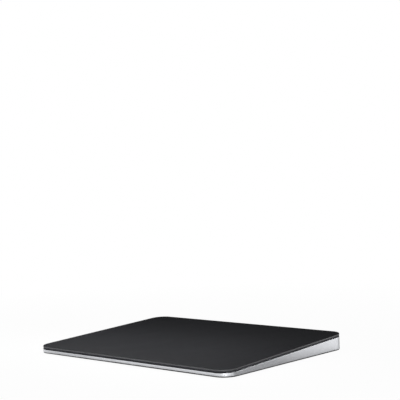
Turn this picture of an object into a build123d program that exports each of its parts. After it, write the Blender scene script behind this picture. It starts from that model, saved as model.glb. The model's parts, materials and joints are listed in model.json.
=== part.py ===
from build123d import *
from math import atan2, cos, degrees, radians, sin
import os

# Wireless wedge trackpad, in millimetres.
# +X is the user's right, +Y is the rear, +Z is up.
# The origin is on the desk, under the centre of the outline.

# Whole product
width = 160.0
depth = 114.9
front_height = 4.9
rear_height = 10.9
corner_radius = 9.0
foot_stand_off = 0.62

# Travels
press_travel = 0.25
shake_travel = 0.15
slider_travel = 2.6

# Shared clearances
running_clearance = 0.1
assembly_clearance = 0.3
cut_overrun = 5.0

# Touch plate, in depths measured square to the glass face
glass_thickness = 0.8
glass_edge_chamfer = 0.12
backing_thickness = 0.15
backing_inset = 0.3
edge_frame_inset = 0.4
edge_frame_width = 2.6
edge_frame_height = 0.45
press_margin = 0.2
sensor_board_thickness = 0.5
stiffener_thickness = 0.5
ribbon_notch_length = 12.0

# Housing
wall_thickness = 1.6
floor_thickness = 0.6
lower_edge_radius = 0.8
rim_chamfer = 0.15
base_recess_inset = 2.4
base_cover_thickness = 0.4
cover_seam = 0.12

# Feet
foot_diameter = 12.5
foot_edge_chamfer = 0.2
foot_from_side = 14.0
foot_from_end = 13.0

# Flexures
flexure_from_side = 14.0
flexure_tip_from_end = 15.4
flexure_relief_depth = 0.3
flexure_relief_margin = 1.0
flexure_length = 17.0
flexure_thickness = 0.4
flexure_root_width = 10.0
flexure_root_length = 7.0
flexure_root_radius = 1.2
flexure_web_width = 6.4
flexure_pad_diameter = 8.0
flexure_slot_width = 2.2
tip_diameter = 6.4
tip_thickness = 0.4
gel_pad_diameter = 8.0
gel_pad_thickness = 0.6
gauge_length = 1.6
gauge_width = 4.4
gauge_margin = 0.3
gauge_thickness = 0.12

# Battery
cell_width = 35.0
cell_thickness = 3.2
cell_corner_radius = 0.8
cell_gap = 8.0
cell_side_clearance = 7.0
cell_tape_thickness = 0.2
cell_tape_margin = 3.0
battery_from_board = 2.4
protection_board_margin = 1.4
protection_board_width = 2.2
protection_board_thickness = 0.8
battery_lead_width = 4.0
battery_lead_thickness = 0.5

# Logic board
board_width = 9.4
board_thickness = 0.7
board_from_wall = 0.5
board_end_margin = 4.1
board_corner_radius = 1.0
board_stand_off = 0.7
board_boss_diameter = 2.8
board_boss_inset = 1.9

# Pieces on the logic board, in a row to each side of the port
component_gap = 2.0
antenna_length = 12.0
antenna_width = 4.0
antenna_height = 2.6
antenna_bevel = 0.8
shield_length = 14.0
shield_width = 7.0
shield_height = 1.4
shield_wall = 0.15
shield_corner_radius = 0.8
touch_connector_length = 10.0
touch_connector_width = 3.2
touch_connector_height = 0.9
controller_size = 6.4
controller_thickness = 0.8
driver_size = 4.6
driver_thickness = 0.7
battery_connector_length = 4.6
battery_connector_width = 3.0
battery_connector_height = 1.1
haptic_connector_width = 3.0

# Charging port
port_mouth_width = 8.34
port_mouth_height = 2.56
port_shell_wall = 0.3
port_depth = 7.4
port_setback = 0.15
port_back_wall = 1.2
tongue_width = 6.7
tongue_thickness = 0.7
tongue_setback = 0.9
bracket_length = 3.6
bracket_thickness = 0.4
bracket_ear = 3.4

# Power switch
switch_from_board = 3.1
switch_slot_length = 8.0
switch_slot_height = 2.4
knob_length = 5.1
knob_height = 2.1
knob_setback = 0.35
knob_rib_count = 5
knob_rib_depth = 0.15
carrier_height = 3.2
carrier_thickness = 0.7
carrier_overlap = 0.5
indicator_thickness = 0.2
switch_case_wall = 0.8
switch_case_depth = 3.0
switch_ribbon_width = 2.2
switch_ribbon_tuck = 5.0

# Haptic engine
haptic_from_battery = 5.0
haptic_length = 36.0
haptic_width = 16.0
core_height = 1.8
core_yoke_length = 5.0
core_pole_length = 2.4
core_leg_width = 3.2
core_leg_height = 1.1
core_leg_pitch = 8.4
core_edge_radius = 0.4
coil_wall = 0.55
coil_corner_radius = 0.5
coil_end_gap = 0.3
haptic_bracket_thickness = 0.3
haptic_ear_radius = 2.0
armature_thickness = 0.4
armature_margin = 0.35
armature_lug_thickness = 1.2

# Ribbons
ribbon_thickness = 0.15
touch_ribbon_width = 9.0
touch_ribbon_landing = 5.0
touch_ribbon_from_end = 8.0
haptic_ribbon_width = 4.0
gauge_ribbon_width = 2.0
gauge_ribbon_from_arm = 1.0

# Gaps that the moving plate needs
rim_gap = press_travel + press_margin
armature_gap = shake_travel + armature_margin

# Heights above the desk
housing_bottom = foot_stand_off
floor_bottom = housing_bottom + base_cover_thickness
floor_top = floor_bottom + floor_thickness

# Depths below the glass face
backing_depth = glass_thickness
frame_depth = backing_depth + backing_thickness
rim_depth = frame_depth + edge_frame_height + rim_gap
stiffener_depth = frame_depth + sensor_board_thickness
gel_depth = stiffener_depth + stiffener_thickness
tip_depth = gel_depth + gel_pad_thickness
flexure_depth = tip_depth + tip_thickness
flexure_seat_depth = flexure_depth + flexure_thickness

# The glass face leans forward, so its stack has a tilted frame of its own
tilt = degrees(atan2(rear_height - front_height, depth))
slope = (rear_height - front_height) / depth
face_normal = Vector(0, -sin(radians(tilt)), cos(radians(tilt)))
face_centre_height = (front_height + rear_height) / 2
touch_frame = Plane(origin=(0, 0, face_centre_height), x_dir=(1, 0, 0), z_dir=face_normal).location

corners = {
    "front_left": (-1, -1),
    "front_right": (1, -1),
    "rear_left": (-1, 1),
    "rear_right": (1, 1),
}
sides = {"left": -1, "right": 1}
low = (Align.CENTER, Align.CENTER, Align.MIN)
high = (Align.CENTER, Align.CENTER, Align.MAX)

# Places in the tilted frame
flexure_x = width / 2 - flexure_from_side
flexure_tip_y = depth / 2 - flexure_tip_from_end
flexure_root_y = flexure_tip_y - flexure_length

# Places along one flexure, from the centre of its root
gauge_y = flexure_root_length / 2 + gauge_margin + gauge_length / 2
flexure_slot_start = gauge_y + gauge_length / 2 + gauge_margin
flexure_slot_end = flexure_length - flexure_pad_diameter / 2

# Places behind the rear wall
inner_rear = depth / 2 - wall_thickness
board_rear = inner_rear - board_from_wall
board_centre_y = board_rear - board_width / 2
board_front = board_rear - board_width
board_bottom = floor_top + board_stand_off
board_top = board_bottom + board_thickness
port_shell_width = port_mouth_width + 2 * port_shell_wall
port_shell_height = port_mouth_height + 2 * port_shell_wall
port_height = board_top + port_shell_height / 2
bracket_reach = port_shell_width / 2 + bracket_thickness + bracket_ear

# Rows of pieces on the logic board, worked outwards from the port
controller_x = bracket_reach + component_gap + controller_size / 2
driver_x = controller_x + controller_size / 2 + component_gap + driver_size / 2
battery_connector_x = driver_x + driver_size / 2 + component_gap + battery_connector_length / 2
board_right_end = battery_connector_x + battery_connector_length / 2 + board_end_margin
touch_connector_x = -(bracket_reach + component_gap + touch_connector_length / 2)
shield_x = touch_connector_x - touch_connector_length / 2 - component_gap - shield_length / 2
antenna_x = shield_x - shield_length / 2 - component_gap - antenna_length / 2
board_left_end = antenna_x - antenna_length / 2 - board_end_margin
board_length = board_right_end - board_left_end
board_centre_x = (board_right_end + board_left_end) / 2

# Power switch, beside the right end of the logic board
carrier_length = knob_length + 2 * (slider_travel + carrier_overlap)
carrier_front = inner_rear - running_clearance
switch_cavity_length = carrier_length + slider_travel + 2 * running_clearance
switch_cavity_height = carrier_height + 2 * running_clearance
switch_case_length = switch_cavity_length + 2 * switch_case_wall
switch_x = board_right_end + switch_from_board + switch_case_length / 2
knob_rest_x = switch_x - slider_travel / 2

# Battery and haptic engine, worked forwards from the logic board
protection_board_rear = board_front - battery_from_board
protection_board_y = protection_board_rear - protection_board_width / 2
protection_board_length = 2 * (battery_connector_x + battery_lead_width / 2 + protection_board_margin)
cell_rear = protection_board_y - protection_board_width / 2 - assembly_clearance
cell_centre_y = cell_rear - cell_width / 2
cell_outer_end = flexure_x - flexure_root_width / 2 - cell_side_clearance
cell_length = cell_outer_end - cell_gap / 2
cell_centre_x = (cell_outer_end + cell_gap / 2) / 2
haptic_rear = cell_rear - cell_width - haptic_from_battery
haptic_centre_y = haptic_rear - haptic_width / 2
haptic_bottom = floor_top + haptic_bracket_thickness
core_middle = haptic_bottom + core_height / 2


def face_height(y):
    """Height of the glass face above the desk at a place from front to rear."""
    return face_centre_height + y * slope


def block(length, across, height, x, y, z):
    """Upright block standing at height z, centred on x and y."""
    return Pos(x, y, z) * Box(length, across, height, align=low)


def outline_prism(inset, bottom, top):
    """Upright prism of the product's rounded outline, drawn in by the inset."""
    outline = RectangleRounded(width - 2 * inset, depth - 2 * inset, corner_radius - inset)
    return Pos(0, 0, bottom) * extrude(outline, top - bottom)


def below_face(shape_depth):
    """Everything more than the depth below the glass face."""
    return touch_frame * Pos(0, 0, -shape_depth) * Box(2 * width, 2 * depth, 2 * rear_height, align=high)


def plate_layer(inset, upper_depth, lower_depth):
    """One layer of the touch plate, upright at its edge, between two depths below the glass face."""
    thickness = lower_depth - upper_depth
    slab = touch_frame * Pos(0, 0, -lower_depth) * Box(2 * width, 2 * depth, thickness, align=low)
    return slab & outline_prism(inset, 0, 2 * rear_height)


def face_along(shape, direction):
    """Flat face of the shape that looks most nearly along the direction."""
    flat = shape.faces().filter_by(GeomType.PLANE)
    return max(flat, key=lambda face: (face.normal_at().dot(direction), face.area))


def slot_along_y(length, height, x, y, z, run):
    """Slot-ended bar that runs from y towards the rear, for holes and knobs in the rear wall."""
    section = Plane(origin=(x, y, z), x_dir=(1, 0, 0), z_dir=(0, 1, 0)) * SlotOverall(length, height)
    return extrude(section, run)


def flexure_places():
    """Tilted place of each flexure's root on its seat, with +Y towards its tip."""
    places = {}
    for name, (side, end) in corners.items():
        turn = 0 if end > 0 else 180
        place = Pos(side * flexure_x, end * flexure_root_y, -flexure_seat_depth)
        places[name] = touch_frame * place * Rot(0, 0, turn)
    return places


def housing():
    """Machined aluminium tray: wedge walls, thin floor, bosses, port slot and switch slot."""
    body = outline_prism(0, housing_bottom, rear_height)
    body = fillet(face_along(body, Vector(0, 0, -1)).edges(), lower_edge_radius)
    body = body & below_face(rim_depth)
    body = chamfer(face_along(body, face_normal).edges(), rim_chamfer)
    body -= outline_prism(wall_thickness, floor_top, 2 * rear_height)
    body -= outline_prism(base_recess_inset, 0, floor_bottom)
    for place in flexure_places().values():
        body = seat_flexure(body, place)
    for place in board_boss_places():
        body += place * Cylinder(board_boss_diameter / 2, board_bottom - floor_bottom, align=high)

    port_slot_width = port_shell_width + 2 * running_clearance
    port_slot_height = port_shell_height + 2 * running_clearance
    start = inner_rear - cut_overrun
    run = wall_thickness + 2 * cut_overrun
    body -= slot_along_y(port_slot_width, port_slot_height, 0, start, port_height, run)
    body -= slot_along_y(switch_slot_length, switch_slot_height, switch_x, start, port_height, run)
    return body


def seat_flexure(body, place):
    """The body with one flexure's boss on its floor, and a shallow relief under the arm's tip."""
    root = place.position
    boss = block(flexure_root_width, flexure_root_length, rear_height, root.X, root.Y, floor_bottom)
    relief_width = flexure_pad_diameter + flexure_relief_margin
    relief_run = flexure_length + (relief_width - flexure_root_length) / 2
    relief_centre = (place * Pos(0, (flexure_root_length + relief_run) / 2, 0)).position
    relief_floor = floor_top - flexure_relief_depth
    relief = block(relief_width, relief_run, rear_height, relief_centre.X, relief_centre.Y, relief_floor)
    return body - relief + (boss & below_face(flexure_seat_depth))


def board_boss_places():
    """Places under the corners of the logic board, on its underside."""
    reach_x = board_length / 2 - board_boss_inset
    reach_y = board_width / 2 - board_boss_inset
    return [
        Pos(board_centre_x + side * reach_x, board_centre_y + end * reach_y, board_bottom)
        for side in sides.values()
        for end in (-1, 1)
    ]


def base_cover():
    """Thin cover bonded into the underside, with a round window for each foot."""
    cover = outline_prism(base_recess_inset + cover_seam, housing_bottom, floor_bottom)
    window = Cylinder(foot_diameter / 2 + cover_seam, 2 * cut_overrun)
    for side, end in corners.values():
        cover -= foot_place(side, end) * window
    return cover


def foot_place(side, end):
    """Place of one foot on the desk."""
    return Pos(side * (width / 2 - foot_from_side), end * (depth / 2 - foot_from_end), 0)


def foot(side, end):
    """Rubber foot, bonded to the underside of the floor through the cover."""
    disc = Cylinder(foot_diameter / 2, floor_bottom, align=low)
    disc = chamfer(face_along(disc, Vector(0, 0, -1)).edges(), foot_edge_chamfer)
    return foot_place(side, end) * disc


def flexure_outline():
    """Leaf with a square root, a slotted web and a round pad at its tip."""
    root = RectangleRounded(flexure_root_width, flexure_root_length, flexure_root_radius)
    web = Pos(0, flexure_length / 2) * Rectangle(flexure_web_width, flexure_length)
    pad = Pos(0, flexure_length) * Circle(flexure_pad_diameter / 2)
    slot_run = flexure_slot_end - flexure_slot_start
    slot_y = flexure_slot_start + slot_run / 2
    slot = Pos(0, slot_y) * Rot(0, 0, 90) * SlotOverall(slot_run, flexure_slot_width)
    return root + web + pad - slot


def flexure_arm(place):
    """One leaf spring on its boss."""
    return place * extrude(flexure_outline(), flexure_thickness)


def strain_gauges():
    """Gauge bonded on each arm, between the root and the slot."""
    return [
        place * block(gauge_width, gauge_length, gauge_thickness, 0, gauge_y, flexure_thickness)
        for place in flexure_places().values()
    ]


def flexure_tip(place):
    """Steel button welded on the arm's pad."""
    button = Cylinder(tip_diameter / 2, tip_thickness, align=low)
    return place * Pos(0, flexure_length, flexure_thickness) * button


def gel_pad(place):
    """Soft pad on the tip, which carries the touch plate and shears when it shakes."""
    pad = Cylinder(gel_pad_diameter / 2, gel_pad_thickness, align=low)
    return place * Pos(0, flexure_length, flexure_thickness + tip_thickness) * pad


def glass_top():
    """Sheet of glass with small bevels on both long edges of its rim."""
    glass = plate_layer(0, 0, glass_thickness)
    upper = face_along(glass, face_normal).edges()
    lower = face_along(glass, -face_normal).edges()
    return chamfer(upper + lower, glass_edge_chamfer)


def glass_backing():
    """Black layer bonded under the glass."""
    return plate_layer(backing_inset, backing_depth, frame_depth)


def edge_frame():
    """Black frame round the sensor board, set in from the edge of the glass."""
    lower = frame_depth + edge_frame_height
    ring = plate_layer(edge_frame_inset, frame_depth, lower)
    return ring - outline_prism(edge_frame_inset + edge_frame_width, 0, 2 * rear_height)


def sensor_board_inset():
    """Inset of the sensor board and the stiffener, inside the edge frame."""
    return edge_frame_inset + edge_frame_width + assembly_clearance


def ribbon_terminal_y():
    """Where the touch ribbon leaves the sensor board, in the tilted frame."""
    return depth / 2 - touch_ribbon_from_end


def sensor_board():
    """Board that carries the touch electrodes, under the backing."""
    return plate_layer(sensor_board_inset(), frame_depth, stiffener_depth)


def stiffener_plate():
    """Steel plate under the sensor board, with a notch where the touch ribbon leaves it."""
    plate = plate_layer(sensor_board_inset(), stiffener_depth, gel_depth)
    notch_width = touch_ribbon_width + 4 * assembly_clearance
    notch = Box(notch_width, 2 * ribbon_notch_length, 2 * cut_overrun)
    return plate - touch_frame * Pos(touch_connector_x, depth / 2 - sensor_board_inset(), 0) * notch


def armature_place():
    """Centre of the armature on the underside of the stiffener."""
    return touch_frame * Pos(0, haptic_centre_y, -gel_depth)


def armature_length():
    """Length of the armature plate, from its free end to the outside of its lug."""
    return haptic_length + 2 * (armature_gap + armature_lug_thickness)


def haptic_armature():
    """Steel plate under the stiffener, with a lug that hangs beside the poles."""
    plate = Box(armature_length(), haptic_width, armature_thickness, align=high)
    lug_x = (armature_length() - armature_lug_thickness) / 2
    lug_height = face_height(haptic_centre_y) - gel_depth - core_middle + core_leg_height / 2
    lug_width = core_leg_pitch + core_leg_width
    lug = Pos(lug_x, 0, 0) * Box(armature_lug_thickness, lug_width, lug_height, align=high)
    return armature_place() * (plate + lug)


def battery_cell(side):
    """Flat pouch cell with rounded corners, on its tape."""
    outline = RectangleRounded(cell_length, cell_width, cell_corner_radius)
    cell = extrude(outline, cell_thickness)
    return Pos(side * cell_centre_x, cell_centre_y, floor_top + cell_tape_thickness) * cell


def battery_tape(side):
    """Tape under one cell, and the strip beside it under the protection board."""
    length = cell_length - 2 * cell_tape_margin
    across = cell_width - 2 * cell_tape_margin
    under_cell = block(length, across, cell_tape_thickness, side * cell_centre_x, cell_centre_y, floor_top)
    strip = (protection_board_length - cell_gap) / 2
    x = side * (cell_gap + strip) / 2
    size = (strip, protection_board_width, cell_tape_thickness)
    under_board = block(*size, x, protection_board_y, floor_top)
    return [under_cell, under_board]


def protection_board():
    """Narrow board behind the cells, on its tape."""
    bottom = floor_top + cell_tape_thickness
    size = (protection_board_length, protection_board_width, protection_board_thickness)
    return block(*size, 0, protection_board_y, bottom)


def battery_lead():
    """Flat lead from the protection board up to its connector on the logic board."""
    x = battery_connector_x
    top = board_top + battery_connector_height
    bottom = floor_top + cell_tape_thickness + protection_board_thickness
    height = top + battery_lead_thickness - bottom
    upright_y = protection_board_rear - battery_lead_thickness / 2
    upright = block(battery_lead_width, battery_lead_thickness, height, x, upright_y, bottom)
    run = board_front + battery_connector_width - protection_board_rear
    level_y = protection_board_rear + run / 2
    level = block(battery_lead_width, run, battery_lead_thickness, x, level_y, top)
    return upright + level


def logic_board():
    """Board along the rear wall, on round bosses."""
    outline = RectangleRounded(board_length, board_width, board_corner_radius)
    return Pos(board_centre_x, board_centre_y, board_bottom) * extrude(outline, board_thickness)


def antenna():
    """Antenna block on the left end of the board, bevelled along its front."""
    body = block(antenna_length, antenna_width, antenna_height, antenna_x, board_centre_y, board_top)
    front_top = face_along(body, Vector(0, -1, 0)).edges().sort_by(Axis.Z)[-1]
    return chamfer(front_top, antenna_bevel)


def radio_shield():
    """Drawn metal can over the radio, open underneath."""
    outline = RectangleRounded(shield_length, shield_width, shield_corner_radius)
    inner = RectangleRounded(
        shield_length - 2 * shield_wall,
        shield_width - 2 * shield_wall,
        shield_corner_radius - shield_wall,
    )
    can = extrude(outline, shield_height) - extrude(inner, shield_height - shield_wall)
    return Pos(shield_x, board_centre_y, board_top) * can


def touch_connector():
    """Connector of the touch ribbon, near the front edge of the board."""
    size = (touch_connector_length, touch_connector_width, touch_connector_height)
    return block(*size, touch_connector_x, board_front + touch_connector_width / 2, board_top)


def touch_controller():
    """Largest chip on the board."""
    size = (controller_size, controller_size, controller_thickness)
    return block(*size, controller_x, board_centre_y, board_top)


def haptic_driver():
    """Chip that drives the coils."""
    return block(driver_size, driver_size, driver_thickness, driver_x, board_centre_y, board_top)


def battery_connector():
    """Connector of the battery lead, near the front edge of the board."""
    size = (battery_connector_length, battery_connector_width, battery_connector_height)
    return block(*size, battery_connector_x, board_front + battery_connector_width / 2, board_top)


def haptic_connector():
    """Connector under the board, which clamps the end of the haptic ribbon."""
    y = board_front + haptic_connector_width / 2
    bottom = floor_top + ribbon_thickness
    return block(haptic_ribbon_width, haptic_connector_width, board_bottom - bottom, 0, y, bottom)


def charge_port_shell():
    """Drawn steel shell of the charging port, open at its mouth."""
    back = depth / 2 - port_setback - port_depth
    shell = slot_along_y(port_shell_width, port_shell_height, 0, back, port_height, port_depth)
    mouth_start = back + port_back_wall
    mouth_run = port_depth + cut_overrun
    return shell - slot_along_y(
        port_mouth_width, port_mouth_height, 0, mouth_start, port_height, mouth_run
    )


def charge_port_tongue():
    """Contact tongue, from the back of the shell to just inside its mouth."""
    start = depth / 2 - port_setback - port_depth + port_back_wall
    run = port_depth - port_back_wall - tongue_setback
    bottom = port_height - tongue_thickness / 2
    tongue = block(tongue_width, run, tongue_thickness, 0, start + run / 2, bottom)
    tip = face_along(tongue, Vector(0, 1, 0)).edges()
    return chamfer(tip, tongue_thickness / 4)


def charge_port_bracket():
    """Saddle over the shell, with an ear on the board at each side."""
    y = board_rear - port_depth / 2
    span = port_shell_width + 2 * bracket_thickness
    top = port_height + port_shell_height / 2 + bracket_thickness
    outer = block(span, bracket_length, top - board_top, 0, y, board_top)
    ears = block(span + 2 * bracket_ear, bracket_length, bracket_thickness, 0, y, board_top)
    saddle = outer + ears
    start = y - bracket_length
    saddle -= slot_along_y(port_shell_width, port_shell_height, 0, start, port_height, 2 * bracket_length)
    lower_half = block(port_shell_width, 2 * bracket_length, port_shell_height / 2, 0, y, board_top)
    return saddle - lower_half


def indicator_pocket(thickness):
    """Block beside the knob that the slot uncovers when the switch is on."""
    x = knob_rest_x + knob_length / 2 + (slider_travel + carrier_overlap) / 2
    y = carrier_front - thickness / 2
    length = slider_travel
    return block(length, thickness, switch_slot_height, x, y, port_height - switch_slot_height / 2)


def power_slider():
    """Ribbed knob in the slot, on a carrier that runs behind the wall."""
    knob_front = depth / 2 - knob_setback
    run = knob_front - carrier_front
    knob = slot_along_y(knob_length, knob_height, knob_rest_x, carrier_front, port_height, run)
    pitch = knob_length / (knob_rib_count + 1)
    groove = Box(pitch / 2, 2 * knob_rib_depth, 2 * knob_height)
    for rib in range(knob_rib_count):
        x = knob_rest_x + (rib - (knob_rib_count - 1) / 2) * pitch
        knob -= Pos(x, knob_front, port_height) * groove
    carrier = block(
        carrier_length,
        carrier_thickness,
        carrier_height,
        knob_rest_x,
        carrier_front - carrier_thickness / 2,
        port_height - carrier_height / 2,
    )
    return knob + carrier - indicator_pocket(indicator_thickness)


def power_indicator():
    """Green inlay in the carrier's face."""
    return indicator_pocket(indicator_thickness)


def power_switch_case():
    """Moulded case behind the wall, in which the carrier runs."""
    top = port_height + switch_cavity_height / 2 + switch_case_wall
    case_y = inner_rear - switch_case_depth / 2
    case = block(switch_case_length, switch_case_depth, top - floor_top, switch_x, case_y, floor_top)
    cavity_depth = carrier_thickness + 2 * running_clearance
    cavity = Box(switch_cavity_length, 2 * cavity_depth, switch_cavity_height)
    return case - Pos(switch_x, inner_rear, port_height) * cavity


def switch_ribbon():
    """Ribbon on the floor, from under the logic board to the front of the switch case."""
    start = board_right_end - switch_ribbon_tuck
    end = switch_x + switch_ribbon_width / 2
    run = end - start
    level = block(run, switch_ribbon_width, ribbon_thickness, start + run / 2, board_centre_y, floor_top)
    case_front = inner_rear - switch_case_depth
    reach = case_front - board_centre_y
    branch_y = board_centre_y + reach / 2
    branch = block(switch_ribbon_width, reach, ribbon_thickness, switch_x, branch_y, floor_top)
    return level + branch


def haptic_leg_places():
    """Centre line of each core leg, from front to rear."""
    return [haptic_centre_y + end * core_leg_pitch / 2 for end in (-1, 1)]


def core_leg_start():
    """Left end of the core's legs, at the yoke."""
    return core_yoke_length - haptic_length / 2


def core_leg_end():
    """Right end of the core's legs, at the pole shoes."""
    return haptic_length / 2 - core_pole_length


def haptic_core():
    """Steel core that lies flat: a yoke, two legs and a pole shoe on each."""
    yoke_x = (core_yoke_length - haptic_length) / 2
    core = block(core_yoke_length, haptic_width, core_height, yoke_x, haptic_centre_y, haptic_bottom)
    run = core_leg_end() - core_leg_start()
    leg_x = core_leg_start() + run / 2
    pole_x = (haptic_length - core_pole_length) / 2
    pole_width = core_leg_width + 2 * coil_wall
    for y in haptic_leg_places():
        core += block(run, core_leg_width, core_leg_height, leg_x, y, core_middle - core_leg_height / 2)
        core += block(core_pole_length, pole_width, core_height, pole_x, y, haptic_bottom)
    upright = core.edges().filter_by(Axis.Z).group_by(Axis.X)[0]
    return fillet(upright, core_edge_radius)


def haptic_coil(y):
    """Wound coil round one leg."""
    section = Plane.YZ * RectangleRounded(
        core_leg_width + 2 * coil_wall, core_leg_height + 2 * coil_wall, coil_corner_radius
    )
    bore = Plane.YZ * Rectangle(core_leg_width, core_leg_height)
    start = core_leg_start() + coil_end_gap
    run = core_leg_end() - coil_end_gap - start
    return Pos(start, y, core_middle) * extrude(section - bore, run)


def haptic_bracket():
    """Sheet under the core, with four round ears and a window under each coil."""
    sheet = Rectangle(haptic_length, haptic_width)
    reach_x = haptic_length / 2 - haptic_ear_radius
    for side in sides.values():
        ear = SlotOverall(haptic_width + 4 * haptic_ear_radius, 2 * haptic_ear_radius)
        sheet += Pos(side * reach_x, 0) * Rot(0, 0, 90) * ear
    window_run = core_leg_end() - core_leg_start()
    window_width = core_leg_width + 2 * coil_wall + assembly_clearance
    window_x = core_leg_start() + window_run / 2
    for y in haptic_leg_places():
        sheet -= Pos(window_x, y - haptic_centre_y) * Rectangle(window_run, window_width)
    return Pos(0, haptic_centre_y, floor_top) * extrude(sheet, haptic_bracket_thickness)


def haptic_ribbon():
    """Ribbon on the floor, between the cells, from the engine to the logic board."""
    end = board_front + haptic_connector_width
    run = end - haptic_rear
    return block(haptic_ribbon_width, run, ribbon_thickness, 0, haptic_rear + run / 2, floor_top)


def gauge_ribbon(side):
    """Ribbon on the floor past one pair of flexure roots, with a branch to the logic board."""
    root_side = flexure_x - flexure_root_width / 2
    x = side * (root_side - gauge_ribbon_from_arm - gauge_ribbon_width / 2)
    reach = flexure_root_y + flexure_root_length / 2
    ribbon = block(gauge_ribbon_width, 2 * reach, ribbon_thickness, x, 0, floor_top)
    for end in (-1, 1):
        branch = gauge_ribbon_from_arm
        branch_x = side * (root_side - branch / 2)
        y = end * flexure_root_y
        ribbon += block(branch, gauge_ribbon_width, ribbon_thickness, branch_x, y, floor_top)
    return ribbon


def touch_ribbon():
    """Ribbon that leaves the sensor board to the rear, turns back and lands on its connector."""
    half = ribbon_thickness / 2
    start = touch_frame * Pos(0, ribbon_terminal_y() - touch_ribbon_landing, -stiffener_depth - half)
    start_y = start.position.Y
    start_z = start.position.Z
    landing_z = board_top + touch_connector_height + half
    rise = touch_ribbon_landing * sin(radians(tilt))
    run = touch_ribbon_landing * cos(radians(tilt))
    upper = Line((start_y, start_z), (start_y + run, start_z + rise))
    drop = (upper @ 1).Y - landing_z
    bend_radius = drop / (1 + cos(radians(tilt)))
    bend = JernArc(upper @ 1, upper % 1, bend_radius, -(180 + tilt))
    lower = Line(bend @ 1, (board_front, (bend @ 1).Y))
    path = Plane.YZ * Wire([upper, bend, lower])
    section = Plane(origin=path @ 0, z_dir=path % 0, x_dir=(1, 0, 0)) * Rectangle(
        touch_ribbon_width, ribbon_thickness
    )
    return Pos(touch_connector_x, 0, 0) * sweep(section, path)


def write_parts():
    """Writes one file for each piece."""
    pieces = {
        "housing": housing(),
        "base_cover": base_cover(),
        "strain_gauges": strain_gauges(),
        "battery_protection_board": protection_board(),
        "battery_lead": battery_lead(),
        "logic_board": logic_board(),
        "antenna": antenna(),
        "radio_shield": radio_shield(),
        "touch_connector": touch_connector(),
        "touch_controller": touch_controller(),
        "haptic_driver": haptic_driver(),
        "battery_connector": battery_connector(),
        "haptic_connector": haptic_connector(),
        "charge_port_shell": charge_port_shell(),
        "charge_port_tongue": charge_port_tongue(),
        "charge_port_bracket": charge_port_bracket(),
        "power_switch_case": power_switch_case(),
        "power_slider": power_slider(),
        "power_indicator": power_indicator(),
        "switch_ribbon": switch_ribbon(),
        "haptic_core": haptic_core(),
        "haptic_bracket": haptic_bracket(),
        "haptic_ribbon": haptic_ribbon(),
        "glass_top": glass_top(),
        "glass_backing": glass_backing(),
        "edge_frame": edge_frame(),
        "sensor_board": sensor_board(),
        "stiffener_plate": stiffener_plate(),
        "haptic_armature": haptic_armature(),
        "touch_ribbon": touch_ribbon(),
    }
    for name, (side, end) in corners.items():
        pieces["foot_" + name] = foot(side, end)
    for name, place in flexure_places().items():
        pieces["flexure_arm_" + name] = flexure_arm(place)
        pieces["flexure_tip_" + name] = flexure_tip(place)
        pieces["gel_pad_" + name] = gel_pad(place)
    for name, side in sides.items():
        pieces["battery_cell_" + name] = battery_cell(side)
        pieces["battery_tape_" + name] = battery_tape(side)
        pieces["gauge_ribbon_" + name] = gauge_ribbon(side)
    for name, y in zip(("front", "rear"), haptic_leg_places()):
        pieces["haptic_coil_" + name] = haptic_coil(y)

    os.makedirs("parts", exist_ok=True)
    for name, piece in pieces.items():
        shape = Compound(children=piece) if isinstance(piece, list) else piece
        export_step(shape, f"parts/{name}.step")


write_parts()
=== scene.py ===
"""Visual model of a wireless wedge trackpad: its pieces, their finishes, the studio and the camera.

Everything is in metres, in the frame of the packed model: +X is the user's right,
+Y the rear and +Z up, with the origin on the desk under the centre of the outline.
"""

import json
import logging
import math
from abc import ABC, abstractmethod
from dataclasses import dataclass
from enum import Enum
from typing import Sequence

import bmesh
import bpy
from mathutils import Matrix, Vector


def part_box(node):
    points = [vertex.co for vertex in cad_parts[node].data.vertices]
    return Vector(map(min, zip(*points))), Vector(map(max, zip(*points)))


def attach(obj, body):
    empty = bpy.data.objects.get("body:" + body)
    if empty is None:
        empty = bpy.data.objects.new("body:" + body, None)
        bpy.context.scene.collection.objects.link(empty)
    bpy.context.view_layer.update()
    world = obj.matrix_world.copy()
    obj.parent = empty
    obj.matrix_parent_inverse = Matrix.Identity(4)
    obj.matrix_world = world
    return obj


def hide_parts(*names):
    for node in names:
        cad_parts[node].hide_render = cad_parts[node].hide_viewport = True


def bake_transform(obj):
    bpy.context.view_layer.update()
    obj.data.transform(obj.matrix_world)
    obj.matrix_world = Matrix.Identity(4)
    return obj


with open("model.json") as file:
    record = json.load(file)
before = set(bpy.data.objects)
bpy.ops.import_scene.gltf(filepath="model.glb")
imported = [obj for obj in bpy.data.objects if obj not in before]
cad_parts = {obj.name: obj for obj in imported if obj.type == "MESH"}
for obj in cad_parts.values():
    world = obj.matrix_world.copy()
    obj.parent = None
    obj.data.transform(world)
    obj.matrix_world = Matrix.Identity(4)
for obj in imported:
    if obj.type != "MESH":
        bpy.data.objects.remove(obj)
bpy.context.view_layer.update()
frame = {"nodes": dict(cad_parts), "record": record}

log = logging.getLogger("trackpad")

Point = tuple[float, float]
Spot = tuple[float, float, float]
Colour = tuple[float, float, float]
Ring = Sequence[Spot | Vector]
Inputs = dict[str | int, object]
Socket = bpy.types.NodeSocket
Material = bpy.types.Material
Piece = bpy.types.Object

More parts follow.
